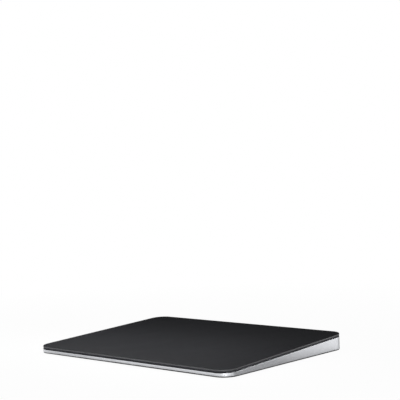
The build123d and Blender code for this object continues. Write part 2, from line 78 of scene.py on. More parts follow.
WHITE: Colour = (1.0, 1.0, 1.0)
BLACK: Colour = (0.0, 0.0, 0.0)
UNSTRETCHED: Spot = (1.0, 1.0, 1.0)
UP = 2
FULL_TURN = 360.0
SHARPEST = 0.00001
WELD_DISTANCE = 1e-6
CUT_DISTANCE = 1e-7
DIRECTIONS = ("facing", "heading")
BOTH = (-1, 1)
SIDES = ((-1, "left"), (1, "right"))
MACHINED_ANGLE = 24.0
FRAME_ANGLE = 30.0
DRAWN_ANGLE = 35.0
SOFT_ANGLE = 40.0
CUT_ANGLE = 50.0


class Body(str, Enum):
    """Bodies that the pieces ride on."""

    HOUSING = "housing"
    TIPS = "flexure_tips"
    PLATE = "touch_plate"
    SLIDER = "power_slider"


class Run(Enum):
    """Direction that a grain, a set of tracks or a fade follows."""

    ALONG_X = 0
    ALONG_Y = 1


class Corner(Enum):
    """Corners of the product, as signs along X and Y."""

    FRONT_LEFT = (-1, -1)
    FRONT_RIGHT = (1, -1)
    REAR_LEFT = (-1, 1)
    REAR_RIGHT = (1, 1)

    @property
    def label(self) -> str:
        """Name that the nodes of this corner end in."""
        return self.name.lower()

    @property
    def end(self) -> int:
        """Sign of the corner along Y."""
        return self.value[1]


def arc(centre: Point, radius: float, start: float, end: float, steps: int) -> list[Point]:
    """Points of an arc between two angles in degrees, both ends included."""
    turns = [math.radians(start + (end - start) * step / steps) for step in range(steps + 1)]
    return [(centre[0] + radius * math.cos(turn), centre[1] + radius * math.sin(turn)) for turn in turns]


def rounded_rectangle(length: float, across: float, radius: float, steps: int) -> list[Point]:
    """Points of a rounded rectangle, anticlockwise.

    Args:
        length: Size along the first axis.
        across: Size along the second axis.
        radius: Radius of the corners.
        steps: Number of parts that each corner is divided into.

    Returns:
        Four quarter turns of points, from the first axis onwards.
    """
    points: list[Point] = []
    for quarter, (side, end) in enumerate(((1, 1), (-1, 1), (-1, -1), (1, -1))):
        centre = (side * (length / 2 - radius), end * (across / 2 - radius))
        for step in range(steps + 1):
            turn = math.radians(90) * (quarter + step / steps)
            points.append((centre[0] + radius * math.cos(turn), centre[1] + radius * math.sin(turn)))
    return points


def circle(centre: Point, radius: float, height: float, steps: int) -> list[Spot]:
    """Points of a level circle, anticlockwise from above."""
    turns = [2 * math.pi * step / steps for step in range(steps)]
    return [(centre[0] + radius * math.cos(t), centre[1] + radius * math.sin(t), height) for t in turns]


def quarter_turn(radius: float, steps: int) -> list[Point]:
    """Offsets of a rounded edge, as (inward, downward) pairs from the flat to the side."""
    turns = [math.radians(90) * step / steps for step in range(steps + 1)]
    return [(radius * (1 - math.sin(turn)), radius * (1 - math.cos(turn))) for turn in turns]


def spread(count: int, pitch: float) -> list[float]:
    """Offsets of evenly spaced pieces about their middle."""
    return [(step - (count - 1) / 2) * pitch for step in range(count)]


@dataclass(frozen=True)
class WedgeForm:
    """Outline and lean that the housing and the touch plate share."""

    width: float = 0.160
    depth: float = 0.1149
    front_height: float = 0.0049
    rear_height: float = 0.0109
    corner_radius: float = 0.009
    smallest_corner: float = 0.0004
    corner_steps: int = 20

    @property
    def slope(self) -> float:
        """Rise of the glass face for each metre towards the rear."""
        return (self.rear_height - self.front_height) / self.depth

    @property
    def lean(self) -> float:
        """Angle of the glass face, in radians."""
        return math.atan(self.slope)

    @property
    def ahead(self) -> Vector:
        """Direction up the glass face, towards the rear."""
        return Vector((0, math.cos(self.lean), math.sin(self.lean)))

    @property
    def normal(self) -> Vector:
        """Direction square to the glass face."""
        return Vector((0, -math.sin(self.lean), math.cos(self.lean)))

    def face_height(self, y: float, below: float = 0.0) -> float:
        """Height at y of the glass face, or of a layer this far below it, measured square to the face."""
        return (self.front_height + self.rear_height) / 2 + y * self.slope - below / math.cos(self.lean)

    def outline(self, inset: float) -> list[Point]:
        """Outline this far inside the product's own, with the same number of points for every inset."""
        radius = max(self.corner_radius - inset, self.smallest_corner)
        return rounded_rectangle(self.width - 2 * inset, self.depth - 2 * inset, radius, self.corner_steps)

    def level(self, inset: float, height: float) -> list[Spot]:
        """Ring on the outline at one height."""
        return [(x, y, height) for x, y in self.outline(inset)]

    def leaning(self, inset: float, below: float) -> list[Spot]:
        """Ring on the outline that lies parallel to the glass face, this far below it."""
        return [(x, y, self.face_height(y, below)) for x, y in self.outline(inset)]


class NodeTree:
    """Node tree under construction."""

    def __init__(self, tree: bpy.types.NodeTree) -> None:
        """Starts with an empty tree."""
        self.tree = tree
        tree.nodes.clear()

    def give(self, socket: Socket, value: object) -> None:
        """Links a socket to another, or sets its value.

        Args:
            socket: Input of a node.
            value: Output of another node, or a value. A colour has three parts.
        """
        if isinstance(value, Socket):
            self.tree.links.new(value, socket)
        else:
            socket.default_value = (*value, 1.0) if socket.type == "RGBA" else value

    def add(self, kind: str, inputs: Inputs | None = None, **settings: object) -> bpy.types.Node:
        """Adds a node.

        Args:
            kind: Type of the node.
            inputs: Values of its sockets, or sockets to link to them.
            settings: Properties of the node.

        Returns:
            The node.
        """
        node = self.tree.nodes.new(kind)
        for key, value in settings.items():
            setattr(node, key, value)
        for key, value in (inputs or {}).items():
            self.give(node.inputs[key], value)
        return node

    def get(self, kind: str, output: str | int, inputs: Inputs | None = None, **settings: object) -> Socket:
        """Adds a node and gives one of its outputs."""
        return self.add(kind, inputs, **settings).outputs[output]

    def reckon(self, operation: str, first: Socket | float, second: Socket | float = 0.0) -> Socket:
        """Works out one value from two."""
        return self.get("ShaderNodeMath", "Value", {0: first, 1: second}, operation=operation)

    def span(self, value: Socket, start: float, end: float, low: float = 0.0, high: float = 1.0) -> Socket:
        """Maps a value from the range start to end on to the range low to high, held at both ends."""
        inputs = {"Value": value, "From Min": start, "From Max": end, "To Min": low, "To Max": high}
        return self.get("ShaderNodeMapRange", "Result", inputs)

    def seen(self) -> Socket:
        """Tells the rays that look at things from those that light them.

        Returns:
            1 for the eye, for reflections and for what shows through glass, and otherwise 0.
        """
        rays = self.add("ShaderNodeLightPath").outputs
        mirrored = self.reckon("MAXIMUM", rays["Is Camera Ray"], rays["Is Glossy Ray"])
        return self.reckon("MAXIMUM", mirrored, rays["Is Transmission Ray"])


class Shader(NodeTree):
    """Material under construction, with one Principled shader."""

    def __init__(self, name: str, colour: Colour, roughness: float, metallic: float) -> None:
        """Starts the material.

        Args:
            name: Name of the material.
            colour: Linear base colour.
            roughness: Roughness, from 0 to 1.
            metallic: 1 for bare metal, otherwise 0.
        """
        self.material = bpy.data.materials.new(name)
        self.material.use_nodes = True
        self.material.diffuse_color = (*colour, 1.0)
        super().__init__(self.material.node_tree)
        look = {"Base Color": colour, "Roughness": roughness, "Metallic": metallic}
        self.surface = self.add("ShaderNodeBsdfPrincipled", look)
        self.output = self.add("ShaderNodeOutputMaterial", {"Surface": self.surface.outputs["BSDF"]})
        self.places: dict[Spot, Socket] = {}

    def place(self, stretch: Spot = UNSTRETCHED) -> Socket:
        """Place on the piece, stretched along each axis.

        Args:
            stretch: Scale along each axis.

        Returns:
            The socket of the coordinates, the same one for the same stretch.
        """
        if stretch not in self.places:
            inputs = {"Vector": self.get("ShaderNodeTexCoord", "Object"), "Scale": stretch}
            self.places[stretch] = self.get("ShaderNodeMapping", "Vector", inputs)
        return self.places[stretch]

    def noise(
        self,
        scale: float,
        detail: float = 2.0,
        rough: float = 0.5,
        twist: float = 0.0,
        stretch: Spot = UNSTRETCHED,
    ) -> Socket:
        """Soft noise from 0 to 1: blotches in each metre, finer layers, their strength and distortion."""
        inputs = {"Scale": scale, "Detail": detail, "Roughness": rough, "Distortion": twist}
        return self.get("ShaderNodeTexNoise", "Fac", {"Vector": self.place(stretch), **inputs})

    def cells(self, scale: float, feature: str = "F1", stretch: Spot = UNSTRETCHED) -> Socket:
        """Cell pattern with this many cells in each metre, as a distance."""
        inputs = {"Vector": self.place(stretch), "Scale": scale}
        return self.get("ShaderNodeTexVoronoi", "Distance", inputs, feature=feature)

    def along(self, axis: int) -> Socket:
        """Distance along one axis: 0 for X, 1 for Y and 2 for Z."""
        return self.get("ShaderNodeSeparateXYZ", axis, {0: self.place()})

    def blend(self, share: Socket | float, first: Socket | Colour, second: Socket | Colour) -> Socket:
        """Mixes two colours, with this share of the second."""
        inputs = {0: share, 6: first, 7: second}
        return self.get("ShaderNodeMix", 2, inputs, data_type="RGBA", clamp_factor=True)

    def relief(self, height: Socket, distance: float, strength: float) -> Socket:
        """Bump from a height that goes from 0 to 1, in metres from its lowest to its highest."""
        inputs = {"Height": height, "Distance": distance, "Strength": strength}
        return self.get("ShaderNodeBump", "Normal", inputs)

    def glow(self, strength: float) -> Socket:
        """White glow."""
        return self.get("ShaderNodeEmission", "Emission", {"Color": WHITE, "Strength": strength})

    def mix(self, share: Socket, first: Socket, second: Socket) -> Socket:
        """Mixes two surfaces, with this share of the second."""
        return self.get("ShaderNodeMixShader", "Shader", {0: share, 1: first, 2: second})

    def show(self, surface: Socket) -> None:
        """Makes this the surface that shows."""
        self.give(self.output.inputs["Surface"], surface)

    def set(self, **sockets: Socket | float) -> None:
        """Sets or links sockets of the Principled shader, with spaces written as underscores."""
        for key, value in sockets.items():
            self.give(self.surface.inputs[key.replace("_", " ")], value)


@dataclass(frozen=True)
class Finish(ABC):
    """Finish of a surface, made once and shared by the pieces that have it."""

    name: str
    colour: Colour
    roughness: float = 0.5
    metallic: float = 0.0
    stands_for: str = ""

    @property
    def title(self) -> str:
        """Name of the finish's material, which no packed material has."""
        return self.name + "_finish"

    @property
    def slot(self) -> str:
        """Material slot of the record that this finish stands for."""
        return self.stands_for or self.name

    def tone(self, share: float, lift: float = 0.0) -> Colour:
        """The finish's colour, darker or lighter by a share."""
        return tuple(min(channel * share + lift, 1.0) for channel in self.colour)

    def material(self) -> Material:
        """Material of the finish, built on first use.

        Returns:
            The material.
        """
        built = bpy.data.materials.get(self.title)
        if built is None:
            shader = Shader(self.title, self.colour, self.roughness, self.metallic)
            self.compose(shader)
            built = shader.material
        return built

    @abstractmethod
    def compose(self, shader: Shader) -> None:
        """Adds the finish's own detail to its shader."""


@dataclass(frozen=True)
class BlastedAluminium(Finish):
    """Aluminium that is bead-blasted and anodised, a little polished where hands rub it."""

    roughness: float = 0.40
    metallic: float = 1.0
    grain: float = 5200.0
    grain_height: float = 0.000006
    cloud: float = 60.0

    def compose(self, shader: Shader) -> None:
        """Adds the blasted grain, soft clouds and wear.

        Args:
            shader: Shader of the finish.
        """
        grain = shader.noise(self.grain, detail=3.0, rough=0.6)
        cloud = shader.noise(self.cloud, detail=3.0)
        wear = shader.get("ShaderNodeAttribute", "Fac", attribute_name="wear")
        toned = shader.blend(shader.span(cloud, 0.3, 0.7), self.tone(0.965), self.colour)
        speck = shader.span(grain, 0.35, 0.65, self.roughness - 0.05, self.roughness + 0.05)
        polish = shader.reckon("MULTIPLY", wear, 0.03)
        shader.set(
            Base_Color=shader.blend(shader.reckon("MULTIPLY", wear, 0.8), toned, self.tone(1.02)),
            Roughness=shader.reckon("SUBTRACT", speck, polish),
            Normal=shader.relief(grain, self.grain_height, 0.8),
        )


@dataclass(frozen=True)
class EtchedGlass(Finish):
    """Dark glass whose face is etched matte, with faint smudges of use."""

    roughness: float = 0.46
    grain: float = 7000.0
    gloss: float = 0.12

    def compose(self, shader: Shader) -> None:
        """Adds the etched grain and the smudges.

        Args:
            shader: Shader of the finish.
        """
        etch = shader.noise(self.grain, rough=0.6)
        smudge = shader.noise(26.0, detail=4.0, rough=0.55, twist=0.6)
        patch = shader.span(smudge, 0.42, 0.68)
        rough = shader.span(patch, 0.0, 1.0, self.roughness + 0.02, self.roughness - 0.035)
        shader.set(
            Base_Color=shader.blend(shader.span(etch, 0.35, 0.65), self.colour, self.tone(1.12)),
            Roughness=shader.reckon("ADD", rough, shader.span(etch, 0.3, 0.7, -0.03, 0.03)),
            Specular_IOR_Level=self.gloss,
            Normal=shader.relief(etch, 0.0000025, 0.7),
        )


@dataclass(frozen=True)
class GroundGlass(Finish):
    """Ground edge of the glass, with the fine marks of the wheel along it."""

    roughness: float = 0.34

    def compose(self, shader: Shader) -> None:
        """Adds the wheel's marks and the finest chips.

        Args:
            shader: Shader of the finish.
        """
        streaks = shader.noise(2600.0, stretch=(0.2, 0.2, 6.0))
        chips = shader.noise(1800.0, detail=3.0, rough=0.7)
        shader.set(
            Base_Color=shader.blend(shader.span(chips, 0.35, 0.7), self.colour, self.tone(1.35)),
            Roughness=shader.span(streaks, 0.3, 0.7, self.roughness - 0.06, self.roughness + 0.08),
            Specular_IOR_Level=0.6,
            Normal=shader.relief(streaks, 0.000008, 0.6),
        )


@dataclass(frozen=True)
class MouldedPlastic(Finish):
    """Moulded plastic with a fine spark-eroded texture."""

    grain: float = 3600.0
    grain_height: float = 0.000008
    gloss: float = 0.5

    def compose(self, shader: Shader) -> None:
        """Adds the texture of the mould and faint flow clouds.

        Args:
            shader: Shader of the finish.
        """
        grain = shader.noise(self.grain, detail=3.0, rough=0.65)
        flow = shader.noise(160.0)
        shader.set(
            Base_Color=shader.blend(shader.span(flow, 0.3, 0.7), self.colour, self.tone(1.12, 0.002)),
            Roughness=shader.span(grain, 0.3, 0.7, self.roughness - 0.06, self.roughness + 0.07),
            Specular_IOR_Level=self.gloss,
            Normal=shader.relief(grain, self.grain_height, 0.8),
        )


@dataclass(frozen=True)
class MouldedRubber(Finish):
    """Matte rubber that holds a little dust, rubbed smooth where it touches the desk."""

    roughness: float = 0.78

    def compose(self, shader: Shader) -> None:
        """Adds the pebbled grain, the dust and the rubbed foot.

        Args:
            shader: Shader of the finish.
        """
        dust = shader.span(shader.noise(420.0, detail=5.0, rough=0.7), 0.52, 0.72, 0.0, 0.5)
        rubbed = shader.span(shader.along(UP), 0.0, 0.0001, 1.0, 0.0)
        shader.set(
            Base_Color=shader.blend(dust, self.colour, self.tone(1.35, 0.02)),
            Roughness=shader.reckon("SUBTRACT", self.roughness, shader.reckon("MULTIPLY", rubbed, 0.18)),
            Specular_IOR_Level=0.3,
            Normal=shader.relief(shader.cells(2400.0), 0.00002, 0.5),
        )


@dataclass(frozen=True)
class RolledMetal(Finish):
    """Sheet metal with the fine lines of rolling along one direction."""

    roughness: float = 0.32
    metallic: float = 1.0
    run: Run = Run.ALONG_X
    line: float = 4200.0

    def compose(self, shader: Shader) -> None:
        """Adds the rolling lines and a faint stain.

        Args:
            shader: Shader of the finish.
        """
        stretch = (0.012, 1.0, 1.0) if self.run is Run.ALONG_X else (1.0, 0.012, 1.0)
        lines = shader.noise(self.line, detail=3.0, rough=0.7, stretch=stretch)
        stain = shader.noise(220.0, detail=4.0, rough=0.6)
        shader.set(
            Base_Color=shader.blend(shader.span(stain, 0.35, 0.65, 0.0, 0.8), self.colour, self.tone(0.86)),
            Roughness=shader.span(lines, 0.25, 0.75, self.roughness - 0.10, self.roughness + 0.12),
            Normal=shader.relief(lines, 0.000004, 0.7),
        )


@dataclass(frozen=True)
class PouchFoil(Finish):
    """Laminated foil of a pouch cell, softly dented."""

    roughness: float = 0.30
    metallic: float = 1.0

    def compose(self, shader: Shader) -> None:
        """Adds soft dents and an uneven sheen.

        Args:
            shader: Shader of the finish.
        """
        dents = shader.noise(110.0, rough=0.45)
        sheen = shader.noise(260.0, detail=1.0)
        shader.set(
            Base_Color=shader.blend(shader.span(dents, 0.3, 0.7), self.colour, self.tone(0.9)),
            Roughness=shader.span(sheen, 0.3, 0.7, self.roughness, self.roughness + 0.05),
            Normal=shader.relief(dents, 0.00012, 0.5),
        )


@dataclass(frozen=True)
class SolderMask(Finish):
    """Circuit board under solder mask, with tracks beneath it and plated vias through it."""

    roughness: float = 0.38
    track: Colour = (0.05, 0.11, 0.085)
    plating: Colour = (0.62, 0.46, 0.20)
    pitch: float = 1400.0

    def compose(self, shader: Shader) -> None:
        """Adds tracks in both directions, in patches, and the vias.

        Args:
            shader: Shader of the finish.
        """
        across = shader.cells(self.pitch, "DISTANCE_TO_EDGE", (0.16, 1.0, 0.0))
        along = shader.cells(self.pitch * 0.8, "DISTANCE_TO_EDGE", (1.0, 0.22, 0.0))
        rows, columns = shader.span(across, 0.05, 0.12, 1.0, 0.0), shader.span(along, 0.04, 0.1, 1.0, 0.0)
        areas = shader.span(shader.noise(180.0, detail=1.0), 0.45, 0.5)
        tracks = shader.reckon("MULTIPLY", shader.reckon("MAXIMUM", rows, columns), areas)
        holes = shader.span(shader.cells(620.0), 0.11, 0.15, 1.0, 0.0)
        shader.set(
            Base_Color=shader.blend(holes, shader.blend(tracks, self.colour, self.track), self.plating),
            Metallic=shader.reckon("MULTIPLY", holes, 0.9),
            Roughness=shader.span(tracks, 0.0, 1.0, 0.42, 0.32),
            Normal=shader.relief(tracks, 0.00003, 0.6),
        )


@dataclass(frozen=True)
class FilmRibbon(Finish):
    """Amber film with copper tracks that run along it."""

    roughness: float = 0.30
    track: Colour = (0.50, 0.24, 0.08)
    run: Run = Run.ALONG_Y
    pitch: float = 0.0006

    def compose(self, shader: Shader) -> None:
        """Adds the tracks and the uneven tint of the film.

        Args:
            shader: Shader of the finish.
        """
        across = shader.along(1 - self.run.value)
        phase = shader.reckon("FRACT", shader.reckon("DIVIDE", across, self.pitch))
        middle = shader.reckon("ABSOLUTE", shader.reckon("SUBTRACT", phase, 0.5))
        band = shader.span(middle, 0.2, 0.26, 1.0, 0.0)
        blotch = shader.span(shader.noise(300.0, detail=3.0), 0.3, 0.7)
        shader.set(
            Base_Color=shader.blend(band, shader.blend(blotch, self.colour, self.tone(0.8)), self.track),
            Roughness=shader.span(band, 0.0, 1.0, 0.34, 0.26),
            Coat_Weight=0.4,
            Normal=shader.relief(band, 0.00002, 0.5),
        )


@dataclass(frozen=True)
class SoftGel(Finish):
    """Soft translucent gel with a tacky sheen."""

    roughness: float = 0.28

    def compose(self, shader: Shader) -> None:
        """Adds fine bubbles, an uneven tint and depth.

        Args:
            shader: Shader of the finish.
        """
        bubbles, tint = shader.cells(900.0), shader.span(shader.noise(400.0), 0.3, 0.7)
        shader.set(
            Base_Color=shader.blend(tint, self.colour, self.tone(0.85)),
            Subsurface_Weight=0.4,
            Subsurface_Scale=0.001,
            Roughness=shader.span(bubbles, 0.0, 0.8, 0.36, 0.22),
            Normal=shader.relief(bubbles, 0.00001, 0.4),
        )


@dataclass(frozen=True)
class FibreTape(Finish):
    """White stretch-release tape, faintly ribbed and fibrous."""

    roughness: float = 0.62

    def compose(self, shader: Shader) -> None:
        """Adds the fibres and a faint yellowing.

        Args:
            shader: Shader of the finish.
        """
        fibres = shader.noise(2200.0, detail=3.0, stretch=(0.05, 1.0, 1.0))
        aged = shader.span(shader.noise(90.0), 0.4, 0.7)
        red, green, blue = self.colour
        shader.set(
            Base_Color=shader.blend(aged, self.colour, (red, green * 0.97, blue * 0.9)),
            Roughness=shader.span(fibres, 0.3, 0.7, 0.55, 0.7),
            Normal=shader.relief(fibres, 0.00002, 0.5),
        )


@dataclass(frozen=True)
class PaleFloor(Finish):
    """Plain pale floor that is white to the eye and keeps the object's shadow."""

    roughness: float = 0.9
    shadow_near: float = 0.12
    shadow_far: float = 0.45
    near_glow: float = 0.965

    def compose(self, shader: Shader) -> None:
        """Adds the glow, which is a little weaker where the shadow falls.

        Args:
            shader: Shader of the finish.
        """
        reach = shader.get("ShaderNodeVectorMath", "Value", {0: shader.place()}, operation="LENGTH")
        share = shader.span(reach, self.shadow_near, self.shadow_far, self.near_glow, 1.0)
        factor = shader.reckon("MULTIPLY", shader.seen(), share)
        shader.show(shader.mix(factor, shader.surface.outputs["BSDF"], shader.glow(1.0)))


@dataclass(frozen=True)
class CardGlow(Finish):
    """Plain glow of a card that only reflections see, a painted reflection, which may fade to clear along one
    axis.
    """

    light: float = 1.0
    run: Run = Run.ALONG_X
    solid: float = 0.0
    clear: float = 0.0

    def compose(self, shader: Shader) -> None:
        """Adds the glow and its fade.

        Args:
            shader: Shader of the finish.
        """
        surface = shader.glow(self.light)
        if self.solid != self.clear:
            low, high = sorted((self.solid, self.clear))
            ends = (0.0, 1.0) if self.solid < self.clear else (1.0, 0.0)
            share = shader.span(shader.along(self.run.value), low, high, *ends)
            surface = shader.mix(share, surface, shader.get("ShaderNodeBsdfTransparent", "BSDF"))
        shader.show(surface)


class Finishes:
    """Every finish of the product. One that isn't a slot of the record says which slot it stands for."""

    aluminium = BlastedAluminium("anodised_aluminium", (0.868, 0.881, 0.913))
    cover = BlastedAluminium("cover_aluminium", (0.60, 0.605, 0.615), roughness=0.46, grain=6800.0)
    glass = EtchedGlass("top_glass", (0.0278, 0.0284, 0.0310))
    glass_edge = GroundGlass("top_glass_edge", (0.088, 0.090, 0.097))
    backing = MouldedPlastic("black_backing", (0.012, 0.012, 0.013), roughness=0.32, grain=1800.0)
    frame = MouldedPlastic("black_frame", (0.056, 0.057, 0.068), roughness=0.6, gloss=0.3)
    rubber = MouldedRubber("foot_rubber", (0.50, 0.51, 0.52))
    board = SolderMask("circuit_board", (0.020, 0.045, 0.035))
    sheet = RolledMetal("steel_sheet", (0.60, 0.60, 0.61))
    button = RolledMetal("button_steel", (0.60, 0.60, 0.61), stands_for="spring_steel")
    spring = RolledMetal("spring_steel", (0.55, 0.55, 0.56), roughness=0.27, run=Run.ALONG_Y)
    port = RolledMetal("port_steel", (0.52, 0.52, 0.53), roughness=0.24)
    tongue = MouldedPlastic("port_tongue", (0.020, 0.020, 0.020), roughness=0.36)
    gel = SoftGel("gel", (0.62, 0.60, 0.52))
    copper = RolledMetal("copper_wire", (0.72, 0.40, 0.22), roughness=0.26, run=Run.ALONG_Y)
    foil = PouchFoil("pouch_foil", (0.62, 0.63, 0.64))
    gold = RolledMetal("contact_gold", (0.78, 0.58, 0.28), 0.22, stands_for="port_steel", run=Run.ALONG_Y)
    tape = FibreTape("tape_white", (0.80, 0.80, 0.78))
    ribbon = FilmRibbon("ribbon_amber", (0.30, 0.15, 0.04))
    cross_ribbon = FilmRibbon(
        "ribbon_amber_across", (0.30, 0.15, 0.04), stands_for="ribbon_amber", run=Run.ALONG_X
    )
    lead = MouldedPlastic("lead_black", (0.030, 0.030, 0.030), roughness=0.42)
    antenna = MouldedPlastic("antenna_plastic", (0.08, 0.08, 0.08), roughness=0.48)
    connector = MouldedPlastic("connector_plastic", (0.16, 0.15, 0.13))
    mark = MouldedPlastic("chip_mark", (0.16, 0.15, 0.13), stands_for="chip_black")
    chip = MouldedPlastic("chip_black", (0.025, 0.025, 0.027), grain=5200.0)
    case = MouldedPlastic("case_plastic", (0.040, 0.040, 0.040), roughness=0.55)
    slider = MouldedPlastic("slider_plastic", (0.70, 0.71, 0.72), 0.42, grain=5200.0, grain_height=0.000004)
    indicator = MouldedPlastic("indicator_green", (0.10, 0.55, 0.16), roughness=0.22, grain=2600.0)


def strips(count: int, rings: int, spans: int, closed: bool = True) -> list[list[int]]:
    """Faces between neighbouring rings of points.

    Args:
        count: Points in each ring.
        rings: Number of rings.
        spans: Number of strips; as many as the rings joins the last one to the first.
        closed: Whether each ring closes on itself.

    Returns:
        The faces, as indices of their points.
    """
    faces = []
    for span in range(spans):
        upper, lower = span * count, (span + 1) % rings * count
        for step in range(count if closed else count - 1):
            after = (step + 1) % count
            faces.append([upper + step, lower + step, lower + after, upper + after])
    return faces


def new_piece(name: str, points: Ring, faces: Sequence[Sequence[int]], *finishes: Finish) -> Piece:
    """Makes an object at the origin from points and faces.

    Args:
        name: Name of the piece.
        points: Its points.
        faces: Its faces, as indices of their points.
        finishes: Finishes of its slots.

    Returns:
        The piece.
    """
    mesh = bpy.data.meshes.new(name)
    mesh.from_pydata(points, [], faces)
    for finish in finishes:
        mesh.materials.append(finish.material())
    mesh.update()
    piece = bpy.data.objects.new(name, mesh)
    bpy.context.scene.collection.objects.link(piece)
    return piece


def loft(
    name: str,
    rings: Sequence[Ring],
    *finishes: Finish,
    bands: Sequence[int] = (),
    wear: Sequence[float] = (),
    looped: bool = False,
) -> Piece:
    """Closed piece through rings of points, shaded smooth, with its wear as a point attribute.

    Args:
        name: Name of the piece.
        rings: Rings of as many points each, from the top to the bottom.
        finishes: Finishes of its slots.
        bands: Index of the finish between each ring and the one before, or 0 for all.
        wear: How exposed each ring is to handling, from 0 to 1, or 0 for all.
        looped: Whether the last ring joins the first, which leaves no ends to cap.

    Returns:
        The piece.
    """
    count, total = len(rings[0]), len(rings)
    spans = total if looped else total - 1
    bands, wear = bands or [0] * total, wear or [0.0] * total
    faces = strips(count, total, spans)
    slots = [bands[(span + 1) % total] for span in range(spans) for _ in range(count)]
    if not looped:
        last = (total - 1) * count
        faces = [list(range(count)), *faces, list(reversed(range(last, last + count)))]
        slots = [0, *slots, 0]
    piece = new_piece(name, [point for ring in rings for point in ring], faces, *finishes)
    mesh = piece.data
    mesh.polygons.foreach_set("material_index", slots)
    worn = mesh.attributes.new("wear", "FLOAT", "POINT")
    worn.data.foreach_set("value", [value for value in wear for _ in range(count)])
    mesh.shade_smooth()
    mesh.update()
    return piece


def shape_by(piece: Piece, kind: str, inputs: dict[str, object] | None = None, **settings: object) -> None:
    """Shapes the piece with a modifier and keeps the result as its plain mesh.

    Args:
        piece: Object whose mesh is changed.
        kind: Type of the modifier.
        inputs: Values of its node tree's inputs, by identifier.
        settings: Properties of the modifier.
    """
    modifier = piece.modifiers.new("shaping", kind)
    for key, value in settings.items():
        setattr(modifier, key, value)
    for identifier, value in (inputs or {}).items():
        modifier[identifier] = value
    depsgraph = bpy.context.evaluated_depsgraph_get()
    depsgraph.update()
    result = bpy.data.meshes.new_from_object(piece.evaluated_get(depsgraph), depsgraph=depsgraph)
    piece.modifiers.remove(modifier)
    spent = piece.data
    piece.data = result
    bpy.data.meshes.remove(spent)
    result.name = piece.name


def combine(piece: Piece, others: Sequence[Piece], operation: str = "DIFFERENCE") -> None:
    """Cuts the others out of the piece, or joins them to it, and deletes them.

    Args:
        piece: Object whose mesh is changed.
        others: Closed objects.
        operation: DIFFERENCE or UNION.
    """
    for other in others:
        shape_by(piece, "BOOLEAN", operation=operation, solver="EXACT", object=other)
        bpy.data.objects.remove(other)


def smooth_by_angle(piece: Piece, angle: float = SOFT_ANGLE) -> None:
    """Shades the piece smooth, except across edges that turn by more than the angle in degrees."""
    piece.data.shade_smooth()
    piece.data.set_sharp_from_angle(angle=math.radians(angle))


def flip(piece: Piece) -> None:
    """Turns the piece's faces the right way out.

    Args:
        piece: Object whose mesh is changed.
    """
    work = bmesh.new()
    work.from_mesh(piece.data)
    bmesh.ops.recalc_face_normals(work, faces=work.faces)
    work.to_mesh(piece.data)
    work.free()
    piece.data.update()


def gather(name: str, pieces: Sequence[Piece], finish: Finish) -> Piece:
    """Makes one piece of several.

    Args:
        name: Name of the new piece.
        pieces: Objects that it takes the place of.
        finish: Finish of all of it.

    Returns:
        The piece.
    """
    whole = new_piece(name, [], [], finish)
    work = bmesh.new()
    for piece in pieces:
        work.from_mesh(piece.data)
        bpy.data.objects.remove(piece)
    work.to_mesh(whole.data)
    work.free()
    smooth_by_angle(whole)
    return whole


def finish_piece(piece: Piece, body: Body, finish: Finish, *nodes: str) -> None:
    """Settles a finished piece on its body.

    Args:
        piece: Object at the origin, with its place in its mesh.
        body: Body that it rides on.
        finish: Finish of the piece, whose slot is read but not given to it.
        nodes: Packed nodes that the piece stands for.
    """
    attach(piece, body.value)
    finish.slot
    if nodes:
        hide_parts(*nodes)
    log.info("%s: %d faces on %s", piece.name, len(piece.data.polygons), body.value)


def finish_bending(
    piece: Piece, bodies: tuple[Body, Body], ends: tuple[Vector, Vector], finish: Finish, node: str
) -> None:
    """Bakes the place of a finished piece that lies between two bodies into its mesh, and hides its packed
    node.

    Args:
        piece: Object at the origin, with its place in its mesh.
        bodies: Body at its start, and body at its end, which are only named in the log.
        ends: Where the bend would start and end; not used.
        finish: Finish of the piece, whose slot is read but not given to it.
        node: Packed node that the piece stands for.
    """
    first, second = (body.value for body in bodies)
    tuple(ends[0])
    tuple(ends[1])
    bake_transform(piece)
    finish.slot
    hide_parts(node)
    log.info("%s: %d faces from %s to %s", piece.name, len(piece.data.polygons), first, second)


@dataclass(frozen=True)
class Place:
    """Where one copy of a repeated piece stands, and how it is turned."""

    at: Spot
    facing: Spot = (0.0, 0.0, 1.0)
    heading: Spot = (1.0, 0.0, 0.0)


@dataclass(frozen=True)
class Axes:
    """Place of a piece and its own directions: U and V in its face, W out of it."""

    origin: Vector
    u: Vector = Vector((1, 0, 0))
    v: Vector = Vector((0, 1, 0))
    w: Vector = Vector((0, 0, 1))

    def at(self, u: float, v: float, w: float = 0.0) -> Vector:
        """Point at these distances along the directions."""
        return self.origin + self.u * u + self.v * v + self.w * w

    def ring(self, outline: Sequence[Point], w: float) -> list[Vector]:
        """Outline at this height out of the face."""
        return [self.at(u, v, w) for u, v in outline]

    def moved(self, u: float, v: float, w: float = 0.0) -> "Axes":
        """The same directions from another place."""
        return Axes(self.at(u, v, w), self.u, self.v, self.w)

    def place(self, u: float, v: float, w: float = 0.0, across: bool = False) -> Place:
        """Place of a repeated piece on the face, headed along U, or along V where it lies across."""
        return Place(tuple(self.at(u, v, w)), tuple(self.w), tuple(self.v if across else self.u))

    def four(self, u: float, v: float) -> list[Place]:
        """Places at the corners of a rectangle, this far from its middle."""
        return [self.place(side * u, end * v) for side in BOTH for end in BOTH]


